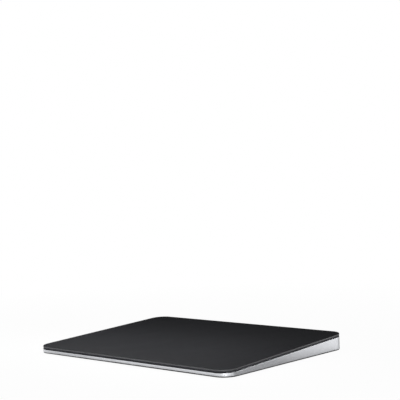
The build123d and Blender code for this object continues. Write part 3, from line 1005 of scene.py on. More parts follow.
@dataclass(frozen=True)
class Block:
    """Box that a packed node fills at rest."""

    low: Vector
    high: Vector

    @classmethod
    def of(cls, node: str) -> "Block":
        """Box of the node with this name."""
        return cls(*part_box(node))

    @property
    def centre(self) -> Vector:
        """Middle of the box."""
        return (self.low + self.high) / 2

    @property
    def size(self) -> Vector:
        """Size of the box along each axis."""
        return self.high - self.low

    def level(self, height: float) -> Axes:
        """Level axes over the middle of the box."""
        return Axes(Vector((self.centre.x, self.centre.y, height)))

    def corners(self, inset: float) -> list[Point]:
        """Places this far inside the corners of its plan."""
        ends = [(low + inset, high - inset) for low, high in zip(self.low[:2], self.high[:2])]
        return [(x, y) for x in ends[0] for y in ends[1]]

    def holds(self, x: float, y: float, margin: float) -> bool:
        """Whether a place in the plan is on the block or closer to it than the margin."""
        within = self.low.x - margin < x < self.high.x + margin
        return within and self.low.y - margin < y < self.high.y + margin

    def outwards(self) -> Axes:
        """Axes in the middle of its front face that look to the rear."""
        origin = Vector((self.centre.x, self.low.y, self.centre.z))
        return Axes(origin, Vector((-1, 0, 0)), Vector((0, 0, 1)), Vector((0, 1, 0)))


class Pattern(NodeTree):
    """Geometry nodes under construction, with a named input for each of their sizes."""

    def __init__(self, name: str) -> None:
        """Starts the tree, with one geometry input for the places of what repeats.

        Args:
            name: Name of the piece that it grows.
        """
        super().__init__(bpy.data.node_groups.new(name, "GeometryNodeTree"))
        self.name = name
        for socket, way in (("Geometry", "OUTPUT"), ("Places", "INPUT")):
            self.tree.interface.new_socket(socket, in_out=way, socket_type="NodeSocketGeometry")
        self.entry = self.add("NodeGroupInput")
        self.settings: dict[str, object] = {}

    def size(self, name: str, value: float | int) -> Socket:
        """Adds a named input.

        Args:
            name: Name of the size or count.
            value: Its value for this product.

        Returns:
            The socket of the input inside the tree.
        """
        kind = "NodeSocketInt" if isinstance(value, int) else "NodeSocketFloat"
        item = self.tree.interface.new_socket(name, in_out="INPUT", socket_type=kind)
        self.settings[item.identifier] = value
        return self.entry.outputs[name]

    def upwards(self, height: Socket) -> Socket:
        """Vector that points up."""
        return self.get("ShaderNodeCombineXYZ", "Vector", {2: height})

    def rectangle(self, length: Socket, across: Socket, corner: Socket, steps: int) -> Socket:
        """Curve round a rectangle with rounded corners.

        Args:
            length: Size along X.
            across: Size along Y.
            corner: Radius of the corners.
            steps: Number of parts of each corner.

        Returns:
            The curve.
        """
        sides = {"Width": length, "Height": across}
        sharp = self.get("GeometryNodeCurvePrimitiveQuadrilateral", "Curve", sides)
        inputs = {"Curve": sharp, "Radius": corner, "Count": steps}
        return self.get("GeometryNodeFilletCurve", "Curve", inputs, mode="POLY")

    def thick(self, outline: Socket, thickness: Socket) -> Socket:
        """Closed solid with the outline's shape, standing on the ground.

        Args:
            outline: Curve round it.
            thickness: Its height.

        Returns:
            The solid.
        """
        sheet = self.get("GeometryNodeFillCurve", "Mesh", {"Curve": outline}, mode="NGONS")
        rise = self.upwards(thickness)
        raised = {"Mesh": sheet, "Offset": rise, "Offset Scale": 1.0, "Individual": False}
        upper = self.get("GeometryNodeExtrudeMesh", "Mesh", raised, mode="FACES")
        lower = self.get("GeometryNodeFlipFaces", "Mesh", {"Mesh": sheet})
        both = self.add("GeometryNodeJoinGeometry")
        for part in (upper, lower):
            self.give(both.inputs["Geometry"], part)
        joined = {"Geometry": both.outputs["Geometry"], "Distance": WELD_DISTANCE}
        return self.get("GeometryNodeMergeByDistance", "Geometry", joined)

    def stand(self, shape: Socket, keep: Socket | None = None) -> Socket:
        """Stands a copy on each place, with its Z along the place's facing and its X along its heading.

        Args:
            shape: Shape that repeats.
            keep: Which places get a copy, or all where it is missing.

        Returns:
            The copies.
        """
        named, aligned = "GeometryNodeInputNamedAttribute", "FunctionNodeAlignRotationToVector"
        facing, heading = (
            self.get(named, "Attribute", {"Name": name}, data_type="FLOAT_VECTOR") for name in DIRECTIONS
        )
        upright = self.get(aligned, "Rotation", {"Vector": facing}, axis="Z")
        turned_to = {"Rotation": upright, "Vector": heading}
        rotation = self.get(aligned, "Rotation", turned_to, axis="X", pivot_axis="Z")
        inputs = {"Points": self.entry.outputs["Places"], "Instance": shape, "Rotation": rotation}
        if keep is not None:
            inputs["Selection"] = keep
        return self.get("GeometryNodeInstanceOnPoints", "Instances", inputs)

    def grow(self, copies: Socket, finish: Finish, places: Sequence[Place]) -> Piece:
        """Ends the tree and makes a plain mesh of what it grows.

        Args:
            copies: Geometry that the tree makes.
            finish: Finish of all of it.
            places: Where the copies stand.

        Returns:
            The piece, at the origin and with no modifiers.
        """
        real = self.get("GeometryNodeRealizeInstances", "Geometry", {"Geometry": copies})
        dressed = {"Geometry": real, "Material": finish.material()}
        self.add("NodeGroupOutput", {"Geometry": self.get("GeometryNodeSetMaterial", "Geometry", dressed)})
        piece = new_piece(self.name, [place.at for place in places], [])
        for name in DIRECTIONS:
            values = [value for place in places for value in getattr(place, name)]
            piece.data.attributes.new(name, "FLOAT_VECTOR", "POINT").data.foreach_set("vector", values)
        shape_by(piece, "NODES", self.settings, node_group=self.tree)
        smooth_by_angle(piece, DRAWN_ANGLE)
        return piece


@dataclass(frozen=True)
class Screws:
    """Pan-head screws with a six-lobed recess."""

    head_radius: float = 0.0013
    head_height: float = 0.0004
    crown_share: float = 0.84
    recess_share: float = 0.5
    waist_share: float = 0.62
    recess_floor: float = 0.4
    lobes: int = 6
    sides: int = 24

    def build(self, name: str, places: Sequence[Place], body: Body = Body.HOUSING) -> None:
        """Builds and dresses one group of screws.

        Args:
            name: Name of the piece.
            places: Where each head sits, with its axis as the facing.
            body: Body that they ride on.
        """
        tree = Pattern(name)
        radius = tree.size("Head radius", self.head_radius)
        height = tree.size("Head height", self.head_height)
        crown = tree.reckon("MULTIPLY", radius, self.crown_share)
        cone = {"Vertices": self.sides, "Radius Top": crown, "Radius Bottom": radius, "Depth": height}
        head = tree.get("GeometryNodeMeshCone", "Mesh", cone)
        outer = tree.reckon("MULTIPLY", radius, self.recess_share)
        inner = tree.reckon("MULTIPLY", outer, self.waist_share)
        star = {"Points": self.lobes, "Inner Radius": inner, "Outer Radius": outer}
        recess = tree.thick(tree.get("GeometryNodeCurveStar", "Curve", star), height)
        lift = tree.upwards(tree.reckon("MULTIPLY", height, self.recess_floor))
        sunk = tree.get("GeometryNodeTransform", "Geometry", {"Geometry": recess, "Translation": lift})
        meshes = {"Mesh 1": head, "Mesh 2": sunk}
        cut = tree.get("GeometryNodeMeshBoolean", "Mesh", meshes, operation="DIFFERENCE", solver="EXACT")
        finish_piece(tree.grow(tree.stand(cut), Finishes.spring, places), body, Finishes.spring)


@dataclass(frozen=True)
class Slabs:
    """Row or field of small slabs with rounded corners, such as contacts, pads, ribs and tiny parts."""

    length: float
    across: float
    thickness: float
    corner: float
    keep_share: float = 1.0
    seed: int = 3

    def grow(self, name: str, places: Sequence[Place], finish: Finish) -> Piece:
        """Grows the slabs on their places.

        Args:
            name: Name of the piece.
            places: Where each slab stands.
            finish: Finish of the slabs.

        Returns:
            The piece.
        """
        tree = Pattern(name)
        length, across = tree.size("Length", self.length), tree.size("Across", self.across)
        thickness, corner = tree.size("Thickness", self.thickness), tree.size("Corner", self.corner)
        share, seed = tree.size("Share kept", self.keep_share), tree.size("Seed", self.seed)
        chance = {"Probability": share, "Seed": seed}
        keep = tree.get("FunctionNodeRandomValue", 3, chance, data_type="BOOLEAN")
        slab = tree.thick(tree.rectangle(length, across, corner, 3), thickness)
        return tree.grow(tree.stand(slab, keep), finish, places)

    def build(
        self, name: str, places: Sequence[Place], finish: Finish, *nodes: str, body: Body = Body.HOUSING
    ) -> None:
        """Builds and dresses the slabs."""
        finish_piece(self.grow(name, places, finish), body, finish, *nodes)


def disc(name: str, centre: Point, radius: float, ends: Point, finish: Finish, steps: int = 32) -> Piece:
    """Upright round bar between the heights of its lower and upper ends."""
    return loft(name, [circle(centre, radius, height, steps) for height in reversed(ends)], finish)


def slot_bar(name: str, centre: Point, size: Point, steps: Sequence[Point], finish: Finish) -> Piece:
    """Bar along Y whose section has round ends, lofted through growing or shrinking sections.

    Args:
        name: Name of the piece.
        centre: Its middle along X and Z.
        size: Length and height of the section.
        steps: Place along Y and growth of each section, from front to rear.
        finish: Finish.

    Returns:
        The bar.
    """
    roundness, end_steps = 0.9999, 14
    rings = []
    for y, growth in steps:
        length, height = size[0] + 2 * growth, size[1] + 2 * growth
        section = rounded_rectangle(length, height, height / 2 * roundness, end_steps)
        rings.append([(centre[0] + u, y, centre[1] + v) for u, v in section])
    return loft(name, rings, finish)


def rounded_plate(
    name: str, axes: Axes, size: Sequence[float], rounding: Point, finish: Finish, steps: int = 5
) -> Piece:
    """Plate with rounded corners and softened edges.

    Args:
        name: Name of the piece.
        axes: Centre of its lower face, and its directions.
        size: Length, width and thickness.
        rounding: Radius of its corners, and of its edges.
        finish: Finish.
        steps: Number of parts of each corner.

    Returns:
        The plate.
    """
    corner, edge = rounding
    turn = quarter_turn(edge, 2)
    levels = [(inward, size[2] - downward) for inward, downward in turn] + list(reversed(turn))
    rings = []
    for inset, height in levels:
        length, across = size[0] - 2 * inset, size[1] - 2 * inset
        outline = rounded_rectangle(length, across, max(corner - inset, SHARPEST), steps)
        rings.append(axes.ring(outline, height))
    plate = loft(name, rings, finish)
    smooth_by_angle(plate)
    return plate


def turned(name: str, axes: Axes, profile: Sequence[Point], finish: Finish, sides: int = 48) -> Piece:
    """Round piece about its W direction.

    Args:
        name: Name of the piece.
        axes: Its axis and foot.
        profile: Radius and height of each ring, from the top down.
        finish: Finish.
        sides: Number of sides.

    Returns:
        The piece.
    """
    last = FULL_TURN * (sides - 1) / sides
    rings = [axes.ring(arc((0.0, 0.0), radius, 0.0, last, sides - 1), height) for radius, height in profile]
    piece = loft(name, rings, finish)
    smooth_by_angle(piece)
    return piece


def swept(
    name: str, path: Sequence[Vector], across: Vector, section: Sequence[Point], finish: Finish
) -> Piece:
    """Bar or ribbon that follows a path.

    Args:
        name: Name of the piece.
        path: Points of its centre line, all in one plane.
        across: Direction square to that plane.
        section: Outline of its section, along the direction across and square to it.
        finish: Finish.

    Returns:
        The piece.
    """
    rings = []
    for index, point in enumerate(path):
        ahead = path[min(index + 1, len(path) - 1)] - path[max(index - 1, 0)]
        rings.append(Axes(point, across, ahead.normalized().cross(across)).ring(section, 0.0))
    piece = loft(name, rings, finish)
    flip(piece)
    smooth_by_angle(piece)
    return piece


@dataclass
class TouchPlate:
    """Glass with its ground edge, and the black ring bonded under it."""

    form: WedgeForm
    glass: float = 0.0008
    edge_round: float = 0.00016
    edge_steps: int = 5
    support: float = 0.0004
    frame_inset: float = 0.00012
    frame_width: float = 0.0026
    frame_top: float = 0.00095
    frame_bottom: float = 0.0014
    frame_round: float = 0.0001

    def build(self) -> None:
        """Builds and dresses the plate."""
        self.build_glass()
        self.build_frame()

    def build_glass(self) -> None:
        """Glass sheet, with the ground finish round its edge."""
        turn, flat = quarter_turn(self.edge_round, self.edge_steps), self.support + self.edge_round
        ground = self.edge_steps // 2 + 2
        levels = [(flat, 0.0), *turn, *((inward, self.glass - down) for inward, down in reversed(turn))]
        levels.append((flat, self.glass))
        rings = [self.form.leaning(inset, below) for inset, below in levels]
        bands = [0] + [int(step >= ground) for step in range(2 * len(turn))] + [0]
        piece = loft("glass_sheet", rings, Finishes.glass, Finishes.glass_edge, bands=bands)
        finish_piece(piece, Body.PLATE, Finishes.glass, "glass_top")

    def build_frame(self) -> None:
        """Black ring round the sensor board, set in from the edge of the glass."""
        upper, lower = self.frame_top, self.frame_bottom
        rounding, width = self.frame_round, self.frame_width
        profile = [(0.0, upper), (0.0, lower - rounding), (rounding, lower)]
        profile += [(width - rounding, lower), (width, lower - rounding), (width, upper)]
        rings = [self.form.leaning(self.frame_inset + inset, below) for inset, below in profile]
        piece = loft("plate_frame", rings, Finishes.frame, looped=True)
        smooth_by_angle(piece, FRAME_ANGLE)
        finish_piece(piece, Body.PLATE, Finishes.frame, "edge_frame")


@dataclass
class Housing:
    """Machined tray, its bonded cover and its feet."""

    form: WedgeForm
    stand_off: float = 0.00062
    cover_thickness: float = 0.0004
    floor_thickness: float = 0.0006
    floor_round: float = 0.0004
    wall: float = 0.0016
    rim_depth: float = 0.00185
    rim_round: float = 0.00012
    rim_fade: float = 2.2
    inner_rim_round: float = 0.0001
    lower_round: float = 0.0008
    lower_fade: float = 1.25
    lower_wear: float = 0.25
    recess_inset: float = 0.0024
    recess_break: float = 0.00006
    support: float = 0.0002
    cover_seam: float = 0.00012
    cover_break: float = 0.00008
    window_ends: Point = (-0.001, 0.002)
    slot_break: float = 0.00014
    slot_clearance: float = 0.0001
    slot_walls: float = 4.0
    switch_slot: Point = (0.0080, 0.0024)
    seat: Point = (0.010, 0.007)
    seat_depth: float = 0.00335
    boss_sink: float = 0.0001
    board_boss_radius: float = 0.0014
    board_boss_inset: float = 0.0019
    relief: Spot = (0.009, 0.018, 0.003)
    relief_floor: float = 0.0003
    relief_overlap: float = 0.00005
    relief_rounding: Point = (0.001, 0.00002)
    foot_top: float = 0.6
    foot_rim: tuple[Point, ...] = (
        (1.0, 0.00028), (0.994, 0.00015), (0.982, 0.00006), (0.965, 0.00001), (0.945, 0.0),
        (0.86, 0.0), (0.84, 0.00003), (0.80, 0.00006), (0.5, 0.00006),
    )

    @property
    def floor_bottom(self) -> float:
        """Height of the floor's underside."""
        return self.stand_off + self.cover_thickness

    @property
    def floor_top(self) -> float:
        """Height of the floor's upper side."""
        return self.floor_bottom + self.floor_thickness

    def build(self) -> None:
        """Builds and dresses the tray, the cover and the feet."""
        self.build_tray()
        self.build_cover()
        self.build_feet()

    def tray_solid(self) -> Piece:
        """Tray before its pockets, bosses and slots.

        Returns:
            The tray.
        """
        form, foot, top = self.form, self.stand_off, self.rim_depth
        inside = [form.level(self.wall + self.floor_round + self.support, self.floor_top)]
        for inward, upward in quarter_turn(self.floor_round, 4):
            inside.append(form.level(self.wall + inward, self.floor_top + upward))
        for inward, downward in reversed(quarter_turn(self.inner_rim_round, 3)):
            inside.append(form.leaning(self.wall - inward, top + downward))
        rim = [form.leaning(inward, top + down) for inward, down in quarter_turn(self.rim_round, 4)]
        side = [form.leaning(0.0, top + self.rim_fade * self.rim_round)]
        side.append(form.level(0.0, foot + self.lower_fade * self.lower_round))
        turn = reversed(quarter_turn(self.lower_round, 9))
        lower = [form.level(inward, foot + up) for inward, up in turn]
        inset, edge = self.recess_inset, self.recess_break
        recess = [(inset - edge, foot), (inset, foot + edge), (inset, self.floor_bottom)]
        recess.append((inset + self.support, self.floor_bottom))
        under = [form.level(*place) for place in recess]
        groups = ((inside, 0.0), (rim, 1.0), (side, 0.0), (lower, self.lower_wear), (under, 0.0))
        rings = [ring for group, _ in groups for ring in group]
        wear = [value for group, value in groups for _ in group]
        return loft("housing_tray", rings, Finishes.aluminium, wear=wear)

    def build_tray(self) -> None:
        """Tray with its pockets and bosses, and the slots through its rear wall."""
        tray = self.tray_solid()
        combine(tray, [self.relief_cutter(corner) for corner in Corner])
        combine(tray, [self.seat_block(corner) for corner in Corner] + self.board_bosses(), "UNION")
        combine(tray, self.slot_cutters())
        smooth_by_angle(tray, MACHINED_ANGLE)
        finish_piece(tray, Body.HOUSING, Finishes.aluminium, "housing")

    def arm_root(self, corner: Corner) -> Point:
        """Place of the middle of an arm's root end."""
        arm = Block.of("flexure_arm_" + corner.label)
        return (arm.low.x + arm.high.x) / 2, (arm.high.y if corner.end < 0 else arm.low.y)

    def relief_cutter(self, corner: Corner) -> Piece:
        """Cutter of the pocket in the floor under an arm, which bends when the plate is pressed.

        Args:
            corner: Corner of the arm.

        Returns:
            The cutter.
        """
        x, root = self.arm_root(corner)
        start = root + corner.end * (self.seat[1] - self.relief_overlap)
        middle = start + corner.end * self.relief[1] / 2
        foot = Axes(Vector((x, middle, self.floor_bottom + self.relief_floor)))
        return rounded_plate("relief_cutter", foot, self.relief, self.relief_rounding, Finishes.aluminium)

    def seat_block(self, corner: Corner) -> Piece:
        """Seat of an arm, whose top lies parallel to the glass face.

        Args:
            corner: Corner of the arm.

        Returns:
            The block.
        """
        x, root = self.arm_root(corner)
        half, foot = self.seat[0] / 2, self.floor_bottom + self.boss_sink
        near, far = sorted((root, root + corner.end * self.seat[1]))
        plan = [(x - half, near), (x + half, near), (x + half, far), (x - half, far)]
        top = [(u, v, self.form.face_height(v, self.seat_depth)) for u, v in plan]
        return loft("seat", [top, [(u, v, foot) for u, v in plan]], Finishes.aluminium)

    def board_bosses(self) -> list[Piece]:
        """Bosses under the corners of the logic board.

        Returns:
            The bosses.
        """
        board, radius = Block.of("logic_board"), self.board_boss_radius
        ends, places = (self.floor_bottom + self.boss_sink, board.low.z), board.corners(self.board_boss_inset)
        return [disc("boss", place, radius, ends, Finishes.aluminium) for place in places]

    def slot_cutters(self) -> list[Piece]:
        """Cutters of the port slot and the switch slot, flared where they leave the wall.

        Returns:
            The cutters.
        """
        port, switch = Block.of("charge_port_shell"), Block.of("power_switch_case")
        room, edge, outer = 2 * self.slot_clearance, self.slot_break, self.form.depth / 2
        steps = [(outer - self.slot_walls * self.wall, 0.0), (outer - edge, 0.0)]
        steps += [(outer, edge), (outer + edge, 2 * edge)]
        port_size = (port.high.x - port.low.x + room, port.high.z - port.low.z + room)
        level, switch_x = port.centre.z, (switch.low.x + switch.high.x) / 2
        return [
            slot_bar("port_cutter", (port.centre.x, level), port_size, steps, Finishes.aluminium),
            slot_bar("switch_cutter", (switch_x, level), self.switch_slot, steps, Finishes.aluminium),
        ]

    def build_cover(self) -> None:
        """Thin cover in the recess of the underside, with a window round each foot."""
        inset, edge, low = self.recess_inset + self.cover_seam, self.cover_break, self.stand_off
        levels = [(self.support, self.floor_bottom), (0.0, self.floor_bottom), (0.0, low + edge)]
        levels += [(edge, low), (edge + self.support, low)]
        rings = [self.form.level(inset + extra, height) for extra, height in levels]
        cover = loft("underside_cover", rings, Finishes.cover)
        windows = []
        for corner in Corner:
            foot = Block.of("foot_" + corner.label)
            middle, radius = (foot.centre.x, foot.centre.y), foot.size.x / 2 + self.cover_seam
            windows.append(disc("foot_window", middle, radius, self.window_ends, Finishes.cover, 64))
        combine(cover, windows)
        smooth_by_angle(cover, MACHINED_ANGLE)
        finish_piece(cover, Body.HOUSING, Finishes.cover, "base_cover")

    def build_feet(self) -> None:
        """Round rubber feet with a rounded rim and a shallow dished underside."""
        for corner in Corner:
            name = "foot_" + corner.label
            block = Block.of(name)
            middle, radius, top = (block.centre.x, block.centre.y), block.size.x / 2, block.high.z
            profile = [(self.foot_top, top), (1.0, top), *self.foot_rim]
            rings = [circle(middle, radius * share, height, 72) for share, height in profile]
            foot = loft("rubber_" + name, rings, Finishes.rubber)
            smooth_by_angle(foot)
            finish_piece(foot, Body.HOUSING, Finishes.rubber, name)


@dataclass
class ChargePort:
    """Drawn shell with a rolled lip, and its tongue with two rows of contacts."""

    wall: float = 0.0003
    lip: float = 0.00012
    back_wall: float = 0.0012
    tongue_corner: float = 0.00012
    tip_corner: float = 0.00006
    bevel_share: float = 0.5
    contact: Slabs = Slabs(0.00028, 0.0042, 0.00003, 0.00006)
    contact_count: int = 12
    contact_pitch: float = 0.0005
    contact_inset: float = 0.0002
    contact_level: float = 0.985

    def build(self) -> None:
        """Builds and dresses the port."""
        self.build_shell()
        self.build_tongue()

    def build_shell(self) -> None:
        """Shell, open at its mouth, with a rounded lip."""
        block, wall = Block.of("charge_port_shell"), self.wall
        mouth, back = block.high.y, block.low.y
        lip = quarter_turn(wall / 2, 4)
        steps = [(back + self.back_wall, -wall), (mouth - self.lip, -wall)]
        steps += [(mouth - down, wall / 2 - inward - wall) for inward, down in reversed(lip)]
        steps += [(mouth - down, -inward) for inward, down in lip[1:]]
        steps += [(mouth - wall, 0.0), (back + wall, 0.0), (back, -wall)]
        centre, size = (block.centre.x, block.centre.z), (block.size.x, block.size.z)
        shell = slot_bar("port_shell", centre, size, steps, Finishes.port)
        flip(shell)
        smooth_by_angle(shell, DRAWN_ANGLE)
        finish_piece(shell, Body.HOUSING, Finishes.port, "charge_port_shell")

    def build_tongue(self) -> None:
        """Moulded tongue with a bevelled tip and plated contacts let into both faces."""
        block = Block.of("charge_port_tongue")
        centre, length, height = block.centre, block.size.x, block.size.z
        bevel = height / 2 * self.bevel_share
        outline = rounded_rectangle(length, height, self.tongue_corner, 4)
        tip = rounded_rectangle(length - 2 * bevel, height - 2 * bevel, self.tip_corner, 4)
        shoulder = block.high.y - bevel
        sections = ((outline, block.low.y), (outline, shoulder), (tip, block.high.y))
        rings = [[(centre.x + u, y, centre.z + v) for u, v in points] for points, y in sections]
        tongue = loft("port_tongue", rings, Finishes.tongue)
        smooth_by_angle(tongue)
        finish_piece(tongue, Body.HOUSING, Finishes.tongue, "charge_port_tongue")
        y = shoulder - self.contact.across / 2 - self.contact_inset
        rise = height / 2 * self.contact_level
        row = spread(self.contact_count, self.contact_pitch)
        places = [Place((x, y, centre.z + side * rise), (0, 0, side)) for side in (1, -1) for x in row]
        self.contact.build("port_contacts", places, Finishes.gold)


@dataclass
class PowerSwitch:
    """Ribbed knob in its slot, on a carrier that hides and shows a green inlay."""

    knob: Point = (0.0051, 0.0021)
    knob_round: float = 0.00012
    overlap: float = 0.0002
    sink: float = 0.00016
    rib: Slabs = Slabs(0.00036, 0.0016, 0.00016, 0.00012)
    rib_count: int = 5
    rib_sink: float = 0.00002
    carrier_rounding: Point = (0.0003, 0.00008)
    inlay_rounding: Point = (0.0002, 0.00006)
    pocket_rounding: Point = (0.0002, 0.00001)
    pocket_play: float = 0.00002

    def build(self) -> None:
        """Builds and dresses the knob, its ribs, its carrier and the inlay."""
        slider, inlay = Block.of("power_slider"), Block.of("power_indicator")
        self.build_knob(slider, inlay.high.y)
        self.build_carrier(slider, inlay)

    def build_knob(self, slider: Block, front: float) -> None:
        """Knob with a row of ribs on its face.

        Args:
            slider: Box of the slider.
            front: Place along Y of the carrier's face.
        """
        face, middle = slider.high.y - self.sink, slider.centre
        turn = reversed(quarter_turn(self.knob_round, 4))
        steps = [(front - self.overlap, 0.0), *((face - downward, -inward) for inward, downward in turn)]
        steps.append((face, -self.knob_round - self.overlap))
        knob = slot_bar("switch_knob", (middle.x, middle.z), self.knob, steps, Finishes.slider)
        flip(knob)
        smooth_by_angle(knob)
        finish_piece(knob, Body.SLIDER, Finishes.slider, "power_slider")
        row = spread(self.rib_count, self.knob[0] / (self.rib_count + 1))
        places = [Place((middle.x + x, face - self.rib_sink, middle.z), (0, 1, 0)) for x in row]
        self.rib.build("switch_ribs", places, Finishes.slider, body=Body.SLIDER)

    def build_carrier(self, slider: Block, inlay: Block) -> None:
        """Carrier behind the knob, with the inlay let into a pocket.

        Args:
            slider: Box of the slider.
            inlay: Box of the inlay.
        """
        plastic, green, play = Finishes.slider, Finishes.indicator, self.pocket_play
        length, deep, height = inlay.size
        size = (slider.size.x, slider.size.z, inlay.high.y - slider.low.y)
        carrier = rounded_plate("switch_carrier", slider.outwards(), size, self.carrier_rounding, plastic)
        floor, pocket = inlay.outwards(), (length + play, height + play, 2 * deep)
        combine(carrier, [rounded_plate("inlay_cutter", floor, pocket, self.pocket_rounding, plastic)])
        smooth_by_angle(carrier)
        finish_piece(carrier, Body.SLIDER, plastic)
        piece = rounded_plate("switch_inlay", floor, (length, height, deep), self.inlay_rounding, green)
        finish_piece(piece, Body.SLIDER, green, "power_indicator")


@dataclass
class Flexures:
    """Spring arms under the corners of the touch plate, with their gauges, screws, tips and gel pads."""

    form: WedgeForm
    reach: Point = (0.066, 0.02505)
    seat_depth: float = 0.00335
    thickness: float = 0.0004
    root: Point = (0.010, 0.007)
    root_corner: float = 0.0012
    web: float = 0.0064
    web_fillet: float = 0.0003
    pad_radius: float = 0.004
    pad_reach: float = 0.017
    window: Point = (0.0022, 0.0070)
    window_reach: float = 0.0095
    window_edge: float = 0.00001
    edge_break: float = 0.00003
    bend_start: float = 0.0056
    bend_cuts: int = 18
    tip_radius: float = 0.0032
    tip_height: float = 0.0004
    tip_core: float = 0.0005
    groove: tuple[float, ...] = (0.0011, 0.0012, 0.0016, 0.0017)
    groove_depth: float = 0.00005
    tip_edge: tuple[Point, ...] = ((0.00012, 0.0), (0.00003, 0.00005), (0.0, 0.00014))
    tip_foot: Point = (0.00006, 0.00008)
    gel_height: float = 0.0006
    gel_core: float = 0.0010
    gel_bulge: float = 0.0004
    gel_rings: int = 10
    gauge_reach: float = 0.0046
    gauge: Slabs = Slabs(0.0044, 0.0016, 0.00010, 0.0003)
    grid: Slabs = Slabs(0.0028, 0.00006, 0.000012, 0.00002)
    grid_lines: int = 9
    grid_share: float = 0.66
    tab: Slabs = Slabs(0.0005, 0.0010, 0.000016, 0.0001)
    tab_inset: float = 0.0004
    screw_spread: float = 0.0033
    screw: Screws = Screws(head_radius=0.0010)

    def axes(self, corner: Corner) -> Axes:
        """Axes of one arm, from the centre of its root on its seat, with V towards its tip.

        Args:
            corner: Corner of the arm.

        Returns:
            The axes.
        """
        side, end = corner.value
        along, normal = self.form.ahead * end, self.form.normal
        middle = Vector((side * self.reach[0], 0, self.form.face_height(0)))
        origin = middle + along * self.reach[1] - normal * self.seat_depth
        return Axes(origin, Vector((end, 0, 0)), along, normal)

    def build(self) -> None:
        """Builds and dresses the four flexures."""
        screws = []
        for corner in Corner:
            axes = self.axes(corner)
            self.build_arm(corner, axes)
            self.build_tip(corner, axes.moved(0.0, self.pad_reach, self.thickness))
            self.build_gel(corner, axes.moved(0.0, self.pad_reach, self.thickness + self.tip_height))
            screws += [axes.place(side * self.screw_spread, 0.0, self.thickness) for side in BOTH]
        self.build_gauges()
        self.screw.build("flexure_screws", screws)

    def arm_outline(self) -> list[Point]:
        """Outline of an arm: a root, a web and a round pad.

        Returns:
            The points.
        """
        half, end, corner = self.root[0] / 2, self.root[1] / 2, self.root_corner
        web, fillet = self.web / 2, self.web_fillet
        right = arc((half - corner, corner - end), corner, -90, 0, 6)
        right += arc((half - corner, end - corner), corner, 0, 90, 6)
        right += arc((web + fillet, end + fillet), fillet, -90, -180, 4)
        start = -math.degrees(math.acos(web / self.pad_radius))
        right += arc((0.0, self.pad_reach), self.pad_radius, start, 90, 14)
        return right + [(-u, v) for u, v in reversed(right[:-1])]

    def build_arm(self, corner: Corner, axes: Axes) -> None:
        """Arm with its window, which bends between its root and its pad.

        Args:
            corner: Corner of the arm.
            axes: Its own axes.
        """
        outline, edge = self.arm_outline(), self.window_edge
        rings = [axes.ring(outline, self.thickness), axes.ring(outline, 0.0)]
        arm = loft("spring_arm_" + corner.label, rings, Finishes.spring)
        foot = axes.moved(0.0, self.window_reach, -self.thickness)
        size, rounding = (*self.window, 3 * self.thickness), (self.window[0] / 2 - edge, edge)
        combine(arm, [rounded_plate("window_cutter", foot, size, rounding, Finishes.spring, 8)])
        sharp = {"limit_method": "ANGLE", "angle_limit": math.radians(CUT_ANGLE)}
        shape_by(arm, "BEVEL", width=self.edge_break, segments=1, harden_normals=False, **sharp)
        start, end = self.bend_start, self.pad_reach - self.pad_radius
        self.divide(arm, axes, start, end)
        smooth_by_angle(arm, CUT_ANGLE)
        ends = (axes.at(0.0, start), axes.at(0.0, end))
        finish_bending(arm, (Body.HOUSING, Body.TIPS), ends, Finishes.spring, "flexure_arm_" + corner.label)

    def divide(self, arm: Piece, axes: Axes, start: float, end: float) -> None:
        """Cuts extra edges across the arm, so that it bends smoothly.

        Args:
            arm: Object whose mesh is changed.
            axes: Its own axes.
            start: First cut.
            end: Last cut.
        """
        work = bmesh.new()
        work.from_mesh(arm.data)
        for step in range(self.bend_cuts):
            place = axes.at(0.0, start + (end - start) * step / (self.bend_cuts - 1))
            everything = work.verts[:] + work.edges[:] + work.faces[:]
            bmesh.ops.bisect_plane(work, geom=everything, dist=CUT_DISTANCE, plane_co=place, plane_no=axes.v)
        work.to_mesh(arm.data)
        work.free()

    def build_tip(self, corner: Corner, axes: Axes) -> None:
        """Turned button on the pad, with a shallow ring in its face.

        Args:
            corner: Corner of the button.
            axes: Its axes, on the arm.
        """
        top, radius, core = self.tip_height, self.tip_radius, self.tip_core
        depths = (0.0, self.groove_depth, self.groove_depth, 0.0)
        profile = [(core, top), *((reach, top - depth) for reach, depth in zip(self.groove, depths))]
        profile += [(radius - inward, top - downward) for inward, downward in self.tip_edge]
        profile += [(radius, self.tip_foot[1]), (radius - self.tip_foot[0], 0.0), (core, 0.0)]
        tip = turned("tip_button_" + corner.label, axes, profile, Finishes.button)
        finish_piece(tip, Body.TIPS, Finishes.button, "flexure_tip_" + corner.label)

    def build_gel(self, corner: Corner, axes: Axes) -> None:
        """Gel pad with bulging sides, which shears between the button and the plate.

        Args:
            corner: Corner of the pad.
            axes: Its axes, on the button.
        """
        height, profile = self.gel_height, [(self.gel_core, self.gel_height)]
        for ring in range(self.gel_rings + 1):
            share = ring / self.gel_rings
            bulge = math.sqrt(max(0.0, 1 - (2 * share - 1) ** 2))
            profile.append((self.pad_radius - self.gel_bulge * (1 - bulge), height * (1 - share)))
        profile.append((self.gel_core, 0.0))
        pad = turned("gel_cushion_" + corner.label, axes, profile, Finishes.gel)
        ends = (axes.at(0.0, 0.0), axes.at(0.0, 0.0, height))
        finish_bending(pad, (Body.TIPS, Body.PLATE), ends, Finishes.gel, "gel_pad_" + corner.label)

